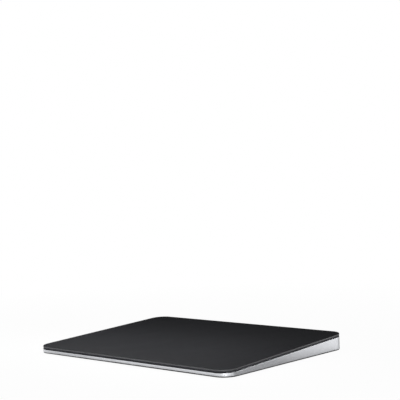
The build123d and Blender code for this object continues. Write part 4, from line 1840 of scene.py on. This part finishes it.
    def build_gauges(self) -> None:
        """Film gauges on the arms, each with a fine grid between two tabs."""
        film, grid, tabs = [], [], []
        lines = spread(self.grid_lines, self.gauge.across * self.grid_share / (self.grid_lines - 1))
        height, reach = self.thickness + self.gauge.thickness, self.gauge.length / 2 - self.tab_inset
        for corner in Corner:
            axes = self.axes(corner).moved(0.0, self.gauge_reach)
            film.append(axes.place(0.0, 0.0, self.thickness))
            grid += [axes.place(0.0, line, height) for line in lines]
            tabs += [axes.place(side * reach, 0.0, height) for side in BOTH]
        self.gauge.build("gauge_films", film, Finishes.cross_ribbon, "strain_gauges")
        self.grid.build("gauge_grids", grid, Finishes.copper)
        self.tab.build("gauge_tabs", tabs, Finishes.copper)


@dataclass
class Battery:
    """Pouch cells on their tapes, the parts of their protection board, and the lead."""

    pouch_corner: float = 0.0016
    tight_corner: float = 0.0003
    crown: tuple[Point, ...] = ((0.008, 0.0), (0.004, 0.000012), (0.0022, 0.00003), (0.0012, 0.00005))
    crown_drop: float = 0.00008
    shoulder: float = 0.0006
    seam: Point = (0.0022, 0.0003)
    seam_rounding: Point = (0.0004, 0.0001)
    seam_sink: float = 0.0002
    seam_overlap: float = 0.00002
    terrace: float = 0.0019
    flange: Point = (0.0023, 0.00022)
    flange_rise: float = 0.00076
    flange_rounding: Point = (0.0005, 0.00005)
    knurl: Slabs = Slabs(0.00022, 0.0011, 0.00003, 0.00005)
    knurl_pitch: float = 0.0006
    knurl_offset: float = 0.0003
    knurl_level: float = 0.95
    tape_rounding: Point = (0.0015, 0.00004)
    pull: Point = (0.0066, 0.0080)
    pull_reach: Point = (0.0022, 0.006)
    pull_share: float = 0.7
    pull_rounding: Point = (0.0020, 0.00004)
    strip_rounding: Point = (0.0003, 0.00004)
    tab: Slabs = Slabs(0.0040, 0.0022, 0.00012, 0.0002)
    tab_inset: float = 0.00035
    tab_places: Point = (0.009, 0.021)
    part: Slabs = Slabs(0.0011, 0.0006, 0.0004, 0.00008, keep_share=0.75, seed=5)
    part_pitch: float = 0.0016
    part_steps: tuple[int, int] = (-17, 16)
    part_margin: float = 0.0008
    wire_count: int = 5
    wire_pitch: float = 0.0008
    wire_radius: float = 0.00025
    wire_bend: float = 0.0008
    wire_end: float = 0.0004
    wire_step: float = 0.00015
    boot: Point = (0.0018, 0.0010)
    boot_rounding: Point = (0.0003, 0.0001)

    def build(self) -> None:
        """Builds and dresses both cells, their tapes, what stands on their board, and the lead."""
        for side, label in SIDES:
            self.build_cell(label)
            self.build_tape(side, label)
        self.build_tabs()
        self.build_lead()

    def pouch(self, block: Block) -> Piece:
        """Drawn body of a cell, slightly crowned, with rounded shoulders.

        Args:
            block: Box of the cell.

        Returns:
            The pouch.
        """
        length, across = block.size.x - 2 * self.seam[1], block.size.y - self.terrace
        middle = Axes(Vector((block.centre.x, block.low.y + across / 2, 0.0)))
        top, shoulder = block.high.z, self.shoulder
        levels = [(inset, top - drop) for inset, drop in self.crown]
        levels += [(inward, top - self.crown_drop - drop) for inward, drop in quarter_turn(shoulder, 4)]
        levels += [(inward, block.low.z + rise) for inward, rise in reversed(quarter_turn(shoulder / 2, 3))]
        rings = []
        for inset, height in levels:
            radius = max(self.pouch_corner - inset, self.tight_corner)
            outline = rounded_rectangle(length - 2 * inset, across - 2 * inset, radius, 6)
            rings.append(middle.ring(outline, height))
        return loft("pouch", rings, Finishes.foil)

    def build_cell(self, label: str) -> None:
        """Pouch with folded side seams and a knurled, sealed terrace at its rear.

        Args:
            label: Side of the cell.
        """
        block = Block.of("battery_cell_" + label)
        centre, length = block.centre, block.size.x - 2 * self.seam[1]
        across = block.size.y - self.terrace
        pieces = [self.pouch(block)]
        for end in BOTH:
            x = centre.x + end * (length / 2 - self.seam_overlap)
            foot = Vector((x, block.low.y + across / 2, centre.z - self.seam_sink))
            axes = Axes(foot, Vector((0, end, 0)), Vector((0, 0, 1)), Vector((end, 0, 0)))
            size = (across - 2 * self.pouch_corner, *self.seam)
            pieces.append(rounded_plate("seam", axes, size, self.seam_rounding, Finishes.foil))
        y = block.high.y - self.flange[0] / 2
        flange = Axes(Vector((centre.x, y, block.low.z + self.flange_rise)))
        size = (length - self.pouch_corner, *self.flange)
        pieces.append(rounded_plate("flange", flange, size, self.flange_rounding, Finishes.foil))
        cell = gather("pouch_cell_" + label, pieces, Finishes.foil)
        finish_piece(cell, Body.HOUSING, Finishes.foil, "battery_cell_" + label)
        height = size[2] * self.knurl_level
        row = spread(int(size[0] / self.knurl_pitch) - 1, self.knurl_pitch)
        places = [flange.place(x, self.knurl_offset, height) for x in row]
        self.knurl.build("pouch_seal_" + label, places, Finishes.foil)

    def build_tape(self, side: int, label: str) -> None:
        """Tape under a cell, with a pull tab, and the strip under the protection board.

        Args:
            side: Sign of the cell's side along X.
            label: Name of the cell's side.
        """
        tape, cell = Block.of("battery_tape_" + label), Block.of("battery_cell_" + label).centre
        board = Block.of("battery_protection_board")
        outer, inner = (tape.low.x, tape.high.x) if side < 0 else (tape.high.x, tape.low.x)
        board_end = board.low.x if side < 0 else board.high.x
        thick, (reach, ahead) = tape.size.z, self.pull_reach
        under = (2 * abs(outer - cell.x), 2 * (cell.y - tape.low.y), thick)
        pull, strip = (*self.pull, thick * self.pull_share), (abs(board_end - inner), board.size.y, thick)
        pieces = []
        for x, y, size, rounding in (
            (cell.x, cell.y, under, self.tape_rounding),
            (outer + side * reach, cell.y + ahead, pull, self.pull_rounding),
            ((inner + board_end) / 2, board.centre.y, strip, self.strip_rounding),
        ):
            foot = Axes(Vector((x, y, tape.low.z)))
            pieces.append(rounded_plate("tape", foot, size, rounding, Finishes.tape))
        whole = gather("cell_tape_" + label, pieces, Finishes.tape)
        finish_piece(whole, Body.HOUSING, Finishes.tape, "battery_tape_" + label)

    def build_tabs(self) -> None:
        """Tabs of the cells on the protection board, and the small parts between them."""
        board = Block.of("battery_protection_board")
        top = Axes(Vector((0.0, board.centre.y, board.high.z)))
        back = board.low.y + self.tab_inset - board.centre.y
        tabs = [top.place(side * x, back) for x in self.tab_places for side in BOTH]
        self.tab.build("cell_tabs", tabs, Finishes.sheet)
        room = self.tab.length / 2 + self.part_margin
        row = [step * self.part_pitch for step in range(*self.part_steps)]
        free = [x for x in row if all(abs(abs(x) - tab) > room for tab in self.tab_places)]
        self.part.build("protection_parts", [top.place(x, 0.0) for x in free], Finishes.chip)

    def build_lead(self) -> None:
        """Wires side by side, which rise from the protection board and cross to their connector."""
        lead, top = Block.of("battery_lead"), Block.of("battery_connector").high.z
        y, z, bend = lead.low.y + self.wire_radius, lead.high.z - self.wire_radius, self.wire_bend
        route = [(y, lead.low.z)] + arc((y + bend, z - bend), bend, 180, 90, 8)
        route += [(lead.high.y - self.wire_end - self.wire_step * step, z) for step in range(4, -1, -1)]
        section = arc((0.0, 0.0), self.wire_radius, 0, 324, 9)
        pieces = []
        for x in spread(self.wire_count, self.wire_pitch):
            path = [Vector((lead.centre.x + x, *point)) for point in route]
            pieces.append(swept("wire", path, Vector((1, 0, 0)), section, Finishes.lead))
        deep, reach = self.boot
        boot = Axes(Vector((lead.centre.x, lead.high.y - reach, top)))
        size = (lead.size.x, deep, lead.high.z - top)
        pieces.append(rounded_plate("boot", boot, size, self.boot_rounding, Finishes.lead))
        whole = gather("battery_wires", pieces, Finishes.lead)
        finish_piece(whole, Body.HOUSING, Finishes.lead, "battery_lead")


@dataclass
class LogicBoard:
    """Chips' legs, connectors' contacts, small parts, radio can, antenna track and screws of the board."""

    leg: Slabs = Slabs(0.00026, 0.0006, 0.00012, 0.00004)
    leg_pitch: float = 0.00055
    mark: Slabs = Slabs(0.0005, 0.0005, 0.000012, 0.00024)
    mark_inset: float = 0.0007
    contact: Slabs = Slabs(0.00022, 0.0006, 0.00014, 0.00004)
    contact_pitch: float = 0.0005
    contact_inset: float = 0.0001
    bare_ends: float = 0.0008
    part: Slabs = Slabs(0.0007, 0.0005, 0.0004, 0.00006, keep_share=0.62, seed=11)
    cap: Slabs = Slabs(0.00018, 0.00054, 0.00043, 0.00005, keep_share=0.62, seed=11)
    field_pitch: Point = (0.0019, 0.0014)
    field_start: float = 0.0012
    field_end: float = 0.001
    field_margin: float = 0.0009
    taken: tuple[str, ...] = (
        "antenna", "radio_shield", "touch_connector", "touch_controller", "haptic_driver",
        "battery_connector", "charge_port_bracket", "charge_port_shell",
    )
    can_wall: float = 0.00015
    can_round: float = 0.00025
    can_corner: float = 0.0008
    can_break: float = 0.0001
    hole_radius: float = 0.00035
    hole_pitch: float = 0.0013
    hole_field: tuple[int, int] = (9, 4)
    hole_roundness: float = 0.999
    bar: Slabs = Slabs(0.00035, 0.0024, 0.00003, 0.00008)
    bar_pitch: float = 0.0011
    bar_inset: float = 0.0004
    bar_sink: float = 0.00001
    bar_ends: float = 0.001
    boss_inset: float = 0.0019
    board_screw: Screws = Screws(head_height=0.0005)
    ear_screw: Screws = Screws(head_radius=0.0011)
    ear_inset: float = 0.0017
    ear_thickness: float = 0.0004

    def build(self) -> None:
        """Builds and dresses what stands on the board."""
        self.build_legs()
        self.build_contacts()
        self.build_parts()
        self.build_can()
        self.build_antenna_track()
        self.build_screws()

    def build_legs(self) -> None:
        """Legs round both chips, and the moulded mark at each chip's first leg."""
        legs, marks = [], []
        for name in ("touch_controller", "haptic_driver"):
            chip = Block.of(name)
            foot, half = chip.level(chip.low.z), chip.size.x / 2
            for along in spread(int((2 * half - self.bare_ends) / self.leg_pitch), self.leg_pitch):
                for side in BOTH:
                    legs.append(foot.place(along, side * half))
                    legs.append(foot.place(side * half, along, across=True))
            marks.append(foot.place(self.mark_inset - half, half - self.mark_inset, chip.size.z))
        self.leg.build("chip_legs", legs, Finishes.sheet)
        self.mark.build("chip_marks", marks, Finishes.mark)

    def build_contacts(self) -> None:
        """Soldered contacts along the long sides of the board's connectors."""
        places = []
        for name in ("touch_connector", "battery_connector"):
            block = Block.of(name)
            lines = (block.low.y + self.contact_inset, block.high.y)
            count = int((block.size.x - self.bare_ends) / self.contact_pitch)
            for x in spread(count, self.contact_pitch):
                places += [Place((block.centre.x + x, y, block.low.z)) for y in lines]
        self.contact.build("connector_contacts", places, Finishes.gold)

    def free_places(self, board: Block) -> list[Spot]:
        """Places of the small parts, clear of what stands on the board and of its screws.

        Args:
            board: Box of the board.

        Returns:
            The places, column by column.
        """
        start, margin = self.field_start, self.field_margin
        across, deep = self.field_pitch
        columns, lines = int(board.size.x / across), int((board.size.y - self.field_end) / deep)
        blocks, room = [Block.of(name) for name in self.taken], self.boss_inset + margin
        bosses = (board.low.x + self.boss_inset, board.high.x - self.boss_inset)
        free = []
        for column in range(columns):
            x = board.low.x + start + column * across
            for line in range(lines):
                y = board.low.y + start + line * deep
                clear = all(abs(x - boss) >= room for boss in bosses)
                if clear and not any(block.holds(x, y, margin) for block in blocks):
                    free.append((x, y, board.high.z))
        return free

    def build_parts(self) -> None:
        """Small soldered parts on the free places of the board, the same ones each time."""
        free = self.free_places(Block.of("logic_board"))
        self.part.build("board_parts", [Place(spot) for spot in free], Finishes.connector)
        for side, label in SIDES:
            ends = [Place((x + side * self.part.length / 2, y, z)) for x, y, z in free]
            self.cap.build("board_caps_" + label, ends, Finishes.sheet)

    def build_can(self) -> None:
        """Drawn can over the radio, open underneath, with rows of holes in its top."""
        block, wall, edge = Block.of("radio_shield"), self.can_wall, self.can_break
        low, high = block.low.z, block.high.z
        levels = [(inward, high - drop) for inward, drop in quarter_turn(self.can_round, 3)]
        levels += [(0.0, low), (wall, low), (wall, high - wall - edge), (wall + edge, high - wall)]
        rings = []
        for inset, height in levels:
            corner = self.can_corner - min(inset, self.can_corner / 2)
            outline = rounded_rectangle(block.size.x - 2 * inset, block.size.y - 2 * inset, corner, 5)
            rings.append([(block.centre.x + u, block.centre.y + v, height) for u, v in outline])
        can = loft("radio_can", rings, Finishes.sheet)
        flip(can)
        foot, radius = block.level(high - 2 * wall), self.hole_radius
        columns, lines = (spread(count, self.hole_pitch) for count in self.hole_field)
        places = [foot.place(x, y) for x in columns for y in lines]
        hole = Slabs(2 * radius, 2 * radius, 3 * wall, radius * self.hole_roundness)
        combine(can, [hole.grow("can_holes", places, Finishes.sheet)])
        smooth_by_angle(can)
        finish_piece(can, Body.HOUSING, Finishes.sheet, "radio_shield")

    def build_antenna_track(self) -> None:
        """Copper track that folds to and fro on top of the antenna block."""
        block, bar, pitch = Block.of("antenna"), self.bar, self.bar_pitch
        y = block.high.y - self.bar_inset - bar.across / 2
        top = Axes(Vector((block.centre.x, y, block.high.z - self.bar_sink)))
        count, turn = int((block.size.x - self.bar_ends) / pitch), (bar.across - bar.length) / 2
        joints = [
            top.place(x, turn if step % 2 else -turn) for step, x in enumerate(spread(count - 1, pitch))
        ]
        self.bar.build("antenna_bars", [top.place(x, 0.0) for x in spread(count, pitch)], Finishes.copper)
        link = Slabs(pitch + bar.length, bar.length, bar.thickness, bar.corner)
        link.build("antenna_links", joints, Finishes.copper)

    def build_screws(self) -> None:
        """Screws at the corners of the board and on the ears of the port's saddle."""
        board, saddle = Block.of("logic_board"), Block.of("charge_port_bracket")
        places = [Place((x, y, board.high.z)) for x, y in board.corners(self.boss_inset)]
        self.board_screw.build("board_screws", places)
        ear, x = saddle.low.z + self.ear_thickness, saddle.high.x - self.ear_inset
        places = [Place((side * x, saddle.centre.y, ear)) for side in BOTH]
        self.ear_screw.build("port_screws", places)


@dataclass
class HapticEngine:
    """Windings round the legs of the core, and the screws of its bracket and its armature."""

    form: WedgeForm
    wire_radius: float = 0.00014
    leg: Point = (0.00322, 0.00112)
    leg_corner: float = 0.00002
    turn_corner: float = 0.0004
    screw: Screws = Screws()
    ear_reach: Point = (0.016, 0.010)
    armature_depth: float = 0.00235
    armature_reach: Point = (0.0165, 0.0060)

    def build(self) -> None:
        """Builds and dresses the windings and the screws."""
        for label in ("front", "rear"):
            self.build_lining(label)
            self.build_winding(label)
        bracket = Block.of("haptic_bracket")
        self.screw.build("bracket_screws", bracket.level(bracket.high.z).four(*self.ear_reach))
        ahead, normal = self.form.ahead, self.form.normal
        face = Vector((0, 0, self.form.face_height(0))) + ahead * bracket.centre.y
        plate = Axes(face - normal * self.armature_depth, Vector((1, 0, 0)), -ahead, -normal)
        self.screw.build("armature_screws", plate.four(*self.armature_reach), Body.PLATE)

    def build_lining(self, label: str) -> None:
        """Lining that fits the leg and fills the winding.

        Args:
            label: Which of the two coils.
        """
        coil, wire = Block.of("haptic_coil_" + label), 2 * self.wire_radius
        outer = rounded_rectangle(coil.size.y - wire, coil.size.z - wire, self.turn_corner, 3)
        inner = rounded_rectangle(*self.leg, self.leg_corner, 3)
        start, end, middle = coil.low.x, coil.high.x, coil.centre
        sections = ((outer, start), (outer, end), (inner, end), (inner, start))
        rings = [[(x, middle.y + u, middle.z + v) for u, v in outline] for outline, x in sections]
        lining = loft("coil_lining_" + label, rings, Finishes.copper, looped=True)
        flip(lining)
        smooth_by_angle(lining)
        finish_piece(lining, Body.HOUSING, Finishes.copper, "haptic_coil_" + label)

    def build_winding(self, label: str) -> None:
        """Turns of enamelled wire side by side.

        Args:
            label: Which of the two coils.
        """
        coil, wire = Block.of("haptic_coil_" + label), 2 * self.wire_radius
        tree = Pattern("coil_winding_" + label)
        length = tree.size("Turn length", coil.size.z - wire)
        across = tree.size("Turn width", coil.size.y - wire)
        radius, corner = tree.size("Wire radius", wire / 2), tree.size("Turn corner", self.turn_corner)
        section = tree.get("GeometryNodeCurvePrimitiveCircle", "Curve", {"Resolution": 6, "Radius": radius})
        curves = {"Curve": tree.rectangle(length, across, corner, 2), "Profile Curve": section}
        tube = tree.get("GeometryNodeCurveToMesh", "Mesh", curves)
        x, y, z = coil.centre
        row = spread(int(coil.size.x / wire), wire)
        places = [Place((x + offset, y, z), (1.0, 0.0, 0.0), (0.0, 0.0, 1.0)) for offset in row]
        finish_piece(tree.grow(tree.stand(tube), Finishes.copper, places), Body.HOUSING, Finishes.copper)


@dataclass
class Ribbons:
    """Film ribbons between the sub-assemblies."""

    form: WedgeForm
    thickness: float = 0.00012
    edge_share: float = 0.45
    ripple: float = 0.000012
    ripple_turn: float = 1.3
    switch_width: float = 0.0022
    gauge_width: float = 0.0020
    gauge_reach: float = 0.02505
    touch_centre: float = -0.01527
    touch_start: Point = (0.04445, 0.001525)
    touch_landing: float = 0.005
    landing_lift: float = 0.000075
    bend_margin: float = 0.0006

    def build(self) -> None:
        """Builds and dresses the five ribbons."""
        self.build_floor_ribbons()
        self.build_touch_ribbon()

    def section(self, width: float) -> list[Point]:
        """Section of a ribbon, with its edges rounded."""
        return rounded_rectangle(width, self.thickness, self.thickness * self.edge_share, 2)

    def strip(self, name: str, ends: tuple[Point, Point], width: float, height: float, steps: int) -> Piece:
        """Ribbon that lies on the floor, faintly rippled.

        Args:
            name: Name of the piece.
            ends: Its two ends.
            width: Its width.
            height: Height of its centre line.
            steps: Number of parts along it.

        Returns:
            The ribbon.
        """
        first, last = (Vector((*end, height)) for end in ends)
        path = []
        for step in range(steps + 1):
            ripple = Vector((0, 0, self.ripple * math.sin(step * self.ripple_turn)))
            path.append(first.lerp(last, step / steps) + ripple)
        ahead = last - first
        finish = Finishes.cross_ribbon if abs(ahead.x) > abs(ahead.y) else Finishes.ribbon
        return swept(name, path, Vector((0, 0, 1)).cross(ahead.normalized()), self.section(width), finish)

    def build_floor_ribbons(self) -> None:
        """Ribbons of the haptic engine, of the switch and of the gauges."""
        tail = Block.of("haptic_ribbon")
        height = tail.centre.z
        ends = ((0.0, tail.low.y), (0.0, tail.high.y))
        piece = self.strip("engine_ribbon", ends, tail.size.x, height, 40)
        finish_piece(piece, Body.HOUSING, Finishes.ribbon, "haptic_ribbon")
        block, width = Block.of("switch_ribbon"), self.switch_width
        line, turn = block.low.y + width / 2, block.high.x - width / 2
        pieces = [self.strip("level", ((block.low.x, line), (block.high.x, line)), width, height, 24)]
        pieces.append(self.strip("branch", ((turn, line), (turn, block.high.y)), width, height, 4))
        whole = gather("key_ribbon", pieces, Finishes.cross_ribbon)
        finish_piece(whole, Body.HOUSING, Finishes.ribbon, "switch_ribbon")
        width = self.gauge_width
        for side, label in SIDES:
            block = Block.of("gauge_ribbon_" + label)
            inner, outer = (block.low.x, block.high.x) if side > 0 else (block.high.x, block.low.x)
            inner += side * width / 2
            pieces = [self.strip("level", ((inner, block.low.y), (inner, block.high.y)), width, height, 40)]
            for y in (-self.gauge_reach, self.gauge_reach):
                pieces.append(self.strip("branch", ((inner, y), (outer, y)), width, height, 4))
            whole = gather("sense_ribbon_" + label, pieces, Finishes.ribbon)
            finish_piece(whole, Body.HOUSING, Finishes.ribbon, "gauge_ribbon_" + label)

    def build_touch_ribbon(self) -> None:
        """Ribbon that leaves the sensor board, turns back in one loop and lands on its connector."""
        lean, x = self.form.lean, self.touch_centre
        cosine, sine = math.cos(lean), math.sin(lean)
        along, below = self.touch_start
        start = (cosine * along + sine * below, self.form.face_height(0) + sine * along - cosine * below)
        turn = (start[0] + cosine * self.touch_landing, start[1] + sine * self.touch_landing)
        landing = Block.of("touch_connector").high.z + self.landing_lift
        radius = (turn[1] - landing) / (1 + cosine)
        centre = (turn[0] + sine * radius, turn[1] - cosine * radius)
        end = Block.of("logic_board").low.y
        steps = 6
        route = [
            (start[0] + (turn[0] - start[0]) * step / steps, start[1] + (turn[1] - start[1]) * step / steps)
            for step in range(steps)
        ]
        route += arc(centre, radius, 90 + math.degrees(lean), -90, 32)
        route += [(centre[0] + (end - centre[0]) * step / steps, landing) for step in range(1, steps + 1)]
        width = Block.of("touch_ribbon").size.x
        path = [Vector((x, *point)) for point in route]
        ribbon = swept("touch_tail", path, Vector((1, 0, 0)), self.section(width), Finishes.ribbon)
        ends = (Vector((x, end, landing + self.bend_margin)), Vector((x, end, turn[1] - self.bend_margin)))
        finish_bending(ribbon, (Body.HOUSING, Body.TIPS), ends, Finishes.ribbon, "touch_ribbon")


@dataclass(frozen=True)
class Card:
    """Glowing card that only reflections see, between rows of points: a painted reflection."""

    glow: CardGlow
    rows: Sequence[Sequence[Spot]]
    closed: bool = False

    def build(self) -> None:
        """Builds the card."""
        count, total = len(self.rows[0]), len(self.rows)
        faces = strips(count, total, total - 1, self.closed)
        card = new_piece(self.glow.name, [point for row in self.rows for point in row], faces, self.glow)
        for rays in ("camera", "diffuse", "transmission", "shadow"):
            setattr(card, "visible_" + rays, False)


@dataclass(frozen=True)
class FloorCard:
    """Glowing card on the floor that only reflections see, between a near and a far edge: painted floor light
    and shade that a wall mirrors.
    """

    glow: CardGlow
    near: tuple[Point, Point]
    far: tuple[Point, Point]
    height: float = 0.0003

    def build(self) -> None:
        """Builds the card."""
        Card(self.glow, [[(x, y, self.height) for x, y in edge] for edge in (self.near, self.far)]).build()


@dataclass(frozen=True)
class SoftLamp:
    """Rectangular soft lamp."""

    name: str
    place: Spot
    target: Spot
    size: Point
    power: float

    def build(self) -> None:
        """Builds the lamp, turned to its target."""
        data = bpy.data.lights.new(self.name, "AREA")
        data.shape = "RECTANGLE"
        data.size, data.size_y = self.size
        data.energy = self.power
        lamp = bpy.data.objects.new(self.name, data)
        bpy.context.scene.collection.objects.link(lamp)
        lamp.location = self.place
        lamp.visible_camera = False
        lamp.rotation_euler = (Vector(self.target) - Vector(self.place)).to_track_quat("-Z", "Y").to_euler()


@dataclass
class Studio:
    """Floor, surround, soft lamps, and the glowing cards that only reflections see, which paint reflected
    light and shade.
    """

    form: WedgeForm
    floor: PaleFloor = PaleFloor("studio_floor", (0.82, 0.82, 0.82))
    floor_radius: float = 3.0
    floor_ends: Point = (0.0, -0.01)
    surround_light: float = 0.25
    # Painted dark reflection: black band above the product that only reflections see, darkening the glass and
    # the metal.
    band: CardGlow = CardGlow("surround_band", BLACK, light=0.008)
    band_radius: Point = (1.6, 0.88)
    band_rise: Point = (3.5, 72.0)
    # Painted contact shadow: black card under the product that only reflections see, mirrored as the dark
    # line along the lower edge.
    contact_shadow_card: CardGlow = CardGlow("contact_shadow_card", BLACK, light=0.0)
    contact_shadow_height: float = 0.0002
    contact_shadow_margin: float = 0.0038
    cards: tuple[FloorCard, ...] = (
        # Painted shade: darker floor that the right side mirrors, fading out towards the rear.
        FloorCard(
            CardGlow("right_shade_card", BLACK, light=0.16, run=Run.ALONG_Y, solid=0.0, clear=0.095),
            near=((0.0815, -0.049), (0.0815, 0.16)),
            far=((0.45, -0.049), (0.45, 0.16)),
        ),
        # Painted shade: darker floor that the front wall mirrors at its left, fading out towards the right.
        FloorCard(
            CardGlow("left_card", BLACK, light=0.50, solid=-0.13, clear=0.01),
            near=((-0.04, -0.40), (-0.04, -0.0585)),
            far=((-0.45, -0.40), (-0.45, -0.0585)),
        ),
        # Painted shadow: the product's shadow on the floor behind it, as the rear wall mirrors it, darkest at
        # the right and fading out to the left.
        FloorCard(
            CardGlow("rear_shadow_card", BLACK, light=0.15, solid=0.05, clear=-0.085),
            near=((-0.085, 0.0590), (0.0815, 0.0590)),
            far=((-0.085, 0.163), (0.1415, 0.163)),
        ),
        # Painted reflection: lighter floor that the left end mirrors.
        FloorCard(
            CardGlow("end_card", BLACK, light=0.9),
            near=((-0.0815, -0.0585), (-0.0815, 0.02)),
            far=((-0.30, -0.0585), (-0.30, 0.02)),
        ),
        # Painted reflection: nearly white floor over part of the left card, mirrored by the front left
        # corner.
        FloorCard(
            CardGlow("far_left_card", BLACK, light=1.0),
            near=((-0.080, -0.25), (-0.080, -0.0585)),
            far=((-0.45, -0.25), (-0.45, -0.0585)),
            height=0.0004,
        ),
    )
    lamps: tuple[SoftLamp, ...] = (
        SoftLamp("overhead", (0.0, 0.05, 0.8), (0.0, 0.0, 0.0), (0.9, 0.9), 0.4),
        SoftLamp("edge_bar", (-0.025, -0.036, 0.078), (-0.025, -0.036, 0.0), (0.23, 0.03), 0.12),
        SoftLamp("rear_right", (0.6, 0.6, 0.2), (0.0, 0.0, 0.0), (0.3, 0.3), 1.2),
        SoftLamp("near_corner", (0.42, -0.46, 0.07), (0.08, -0.057, 0.003), (0.16, 0.10), 0.6),
    )

    def build(self) -> None:
        """Builds the studio."""
        rings = [circle((0, 0), self.floor_radius, height, 96) for height in self.floor_ends]
        loft("floor", rings, self.floor)
        self.build_world()
        for lamp in self.lamps:
            lamp.build()
        self.build_surround_cards()
        for card in self.cards:
            card.build()

    def build_world(self) -> None:
        """White surround for the eye and for reflections, dimmer for the light that it gives."""
        world = bpy.data.worlds.new("studio")
        bpy.context.scene.world = world
        world.use_nodes = True
        tree = NodeTree(world.node_tree)
        light = tree.span(tree.seen(), 0.0, 1.0, self.surround_light, 1.0)
        sky = tree.get("ShaderNodeBackground", "Background", {"Color": WHITE, "Strength": light})
        tree.add("ShaderNodeOutputWorld", {"Surface": sky})

    def build_surround_cards(self) -> None:
        """Black band and black ring that only reflections see: a painted dark reflection that keeps the glass
        dark from every side, and a painted contact shadow under the product.
        """
        rows = []
        # Painted dark reflection: the band round the product, seen only in reflections.
        for radius, rise in zip(self.band_radius, self.band_rise):
            rows.append(circle((0, 0), radius, radius * math.tan(math.radians(rise)), 64))
        Card(self.band, rows, closed=True).build()
        # Painted contact shadow: a black ring round the outline, seen only in reflections.
        outer = self.form.level(-self.contact_shadow_margin, self.contact_shadow_height)
        inner = [(x / 2, y / 2, self.contact_shadow_height) for x, y in self.form.outline(0.0)]
        Card(self.contact_shadow_card, [outer, inner], closed=True).build()


@dataclass(frozen=True)
class PhotoCamera:
    """Camera at the photograph's viewpoint."""

    place: Spot = (0.408694, -0.444754, 0.101045)
    azimuth: float = 41.639
    elevation: float = 0.470
    roll: float = -1.704
    lens: float = 85.592
    sensor: float = 36.0
    nearest: float = 0.01

    def build(self) -> None:
        """Builds the camera and makes it the scene's own."""
        turn, tip, roll = (math.radians(angle) for angle in (self.azimuth, self.elevation, self.roll))
        back = Vector((math.sin(turn) * math.cos(tip), -math.cos(turn) * math.cos(tip), math.sin(tip)))
        right = (-back).cross(Vector((0, 0, 1))).normalized()
        up = right.cross(-back)
        rolled_right = right * math.cos(roll) + up * math.sin(roll)
        rolled_up = up * math.cos(roll) - right * math.sin(roll)
        data = bpy.data.cameras.new("photo_camera")
        data.sensor_width = self.sensor
        data.lens = self.lens
        data.clip_start = self.nearest
        camera = bpy.data.objects.new("photo_camera", data)
        bpy.context.scene.collection.objects.link(camera)
        basis = Matrix((rolled_right, rolled_up, back)).transposed().to_4x4()
        camera.matrix_world = Matrix.Translation(Vector(self.place)) @ basis
        bpy.context.scene.camera = camera


def dress_nodes() -> None:
    """Gives each packed node that still shows the finish of its slot."""
    finishes = {value.name: value for value in vars(Finishes).values() if isinstance(value, Finish)}
    slots = {part["node"]: part["material_slot"] for part in frame["record"]["subparts"]}
    for name, piece in frame["nodes"].items():
        piece.data.materials.clear()
        piece.data.materials.append(finishes[slots[name]].material())


def main() -> None:
    """Builds the pieces in order, then the studio and the camera."""
    logging.basicConfig(level=logging.INFO, format="%(name)s %(message)s")
    bpy.context.scene.view_settings.view_transform = "Standard"
    dress_nodes()
    form = WedgeForm()
    for assembly in (
        TouchPlate(form), Housing(form), ChargePort(), PowerSwitch(), Flexures(form), Battery(),
        LogicBoard(), HapticEngine(form), Ribbons(form), Studio(form), PhotoCamera(),
    ):
        assembly.build()


if __name__ == "__main__":
    main()
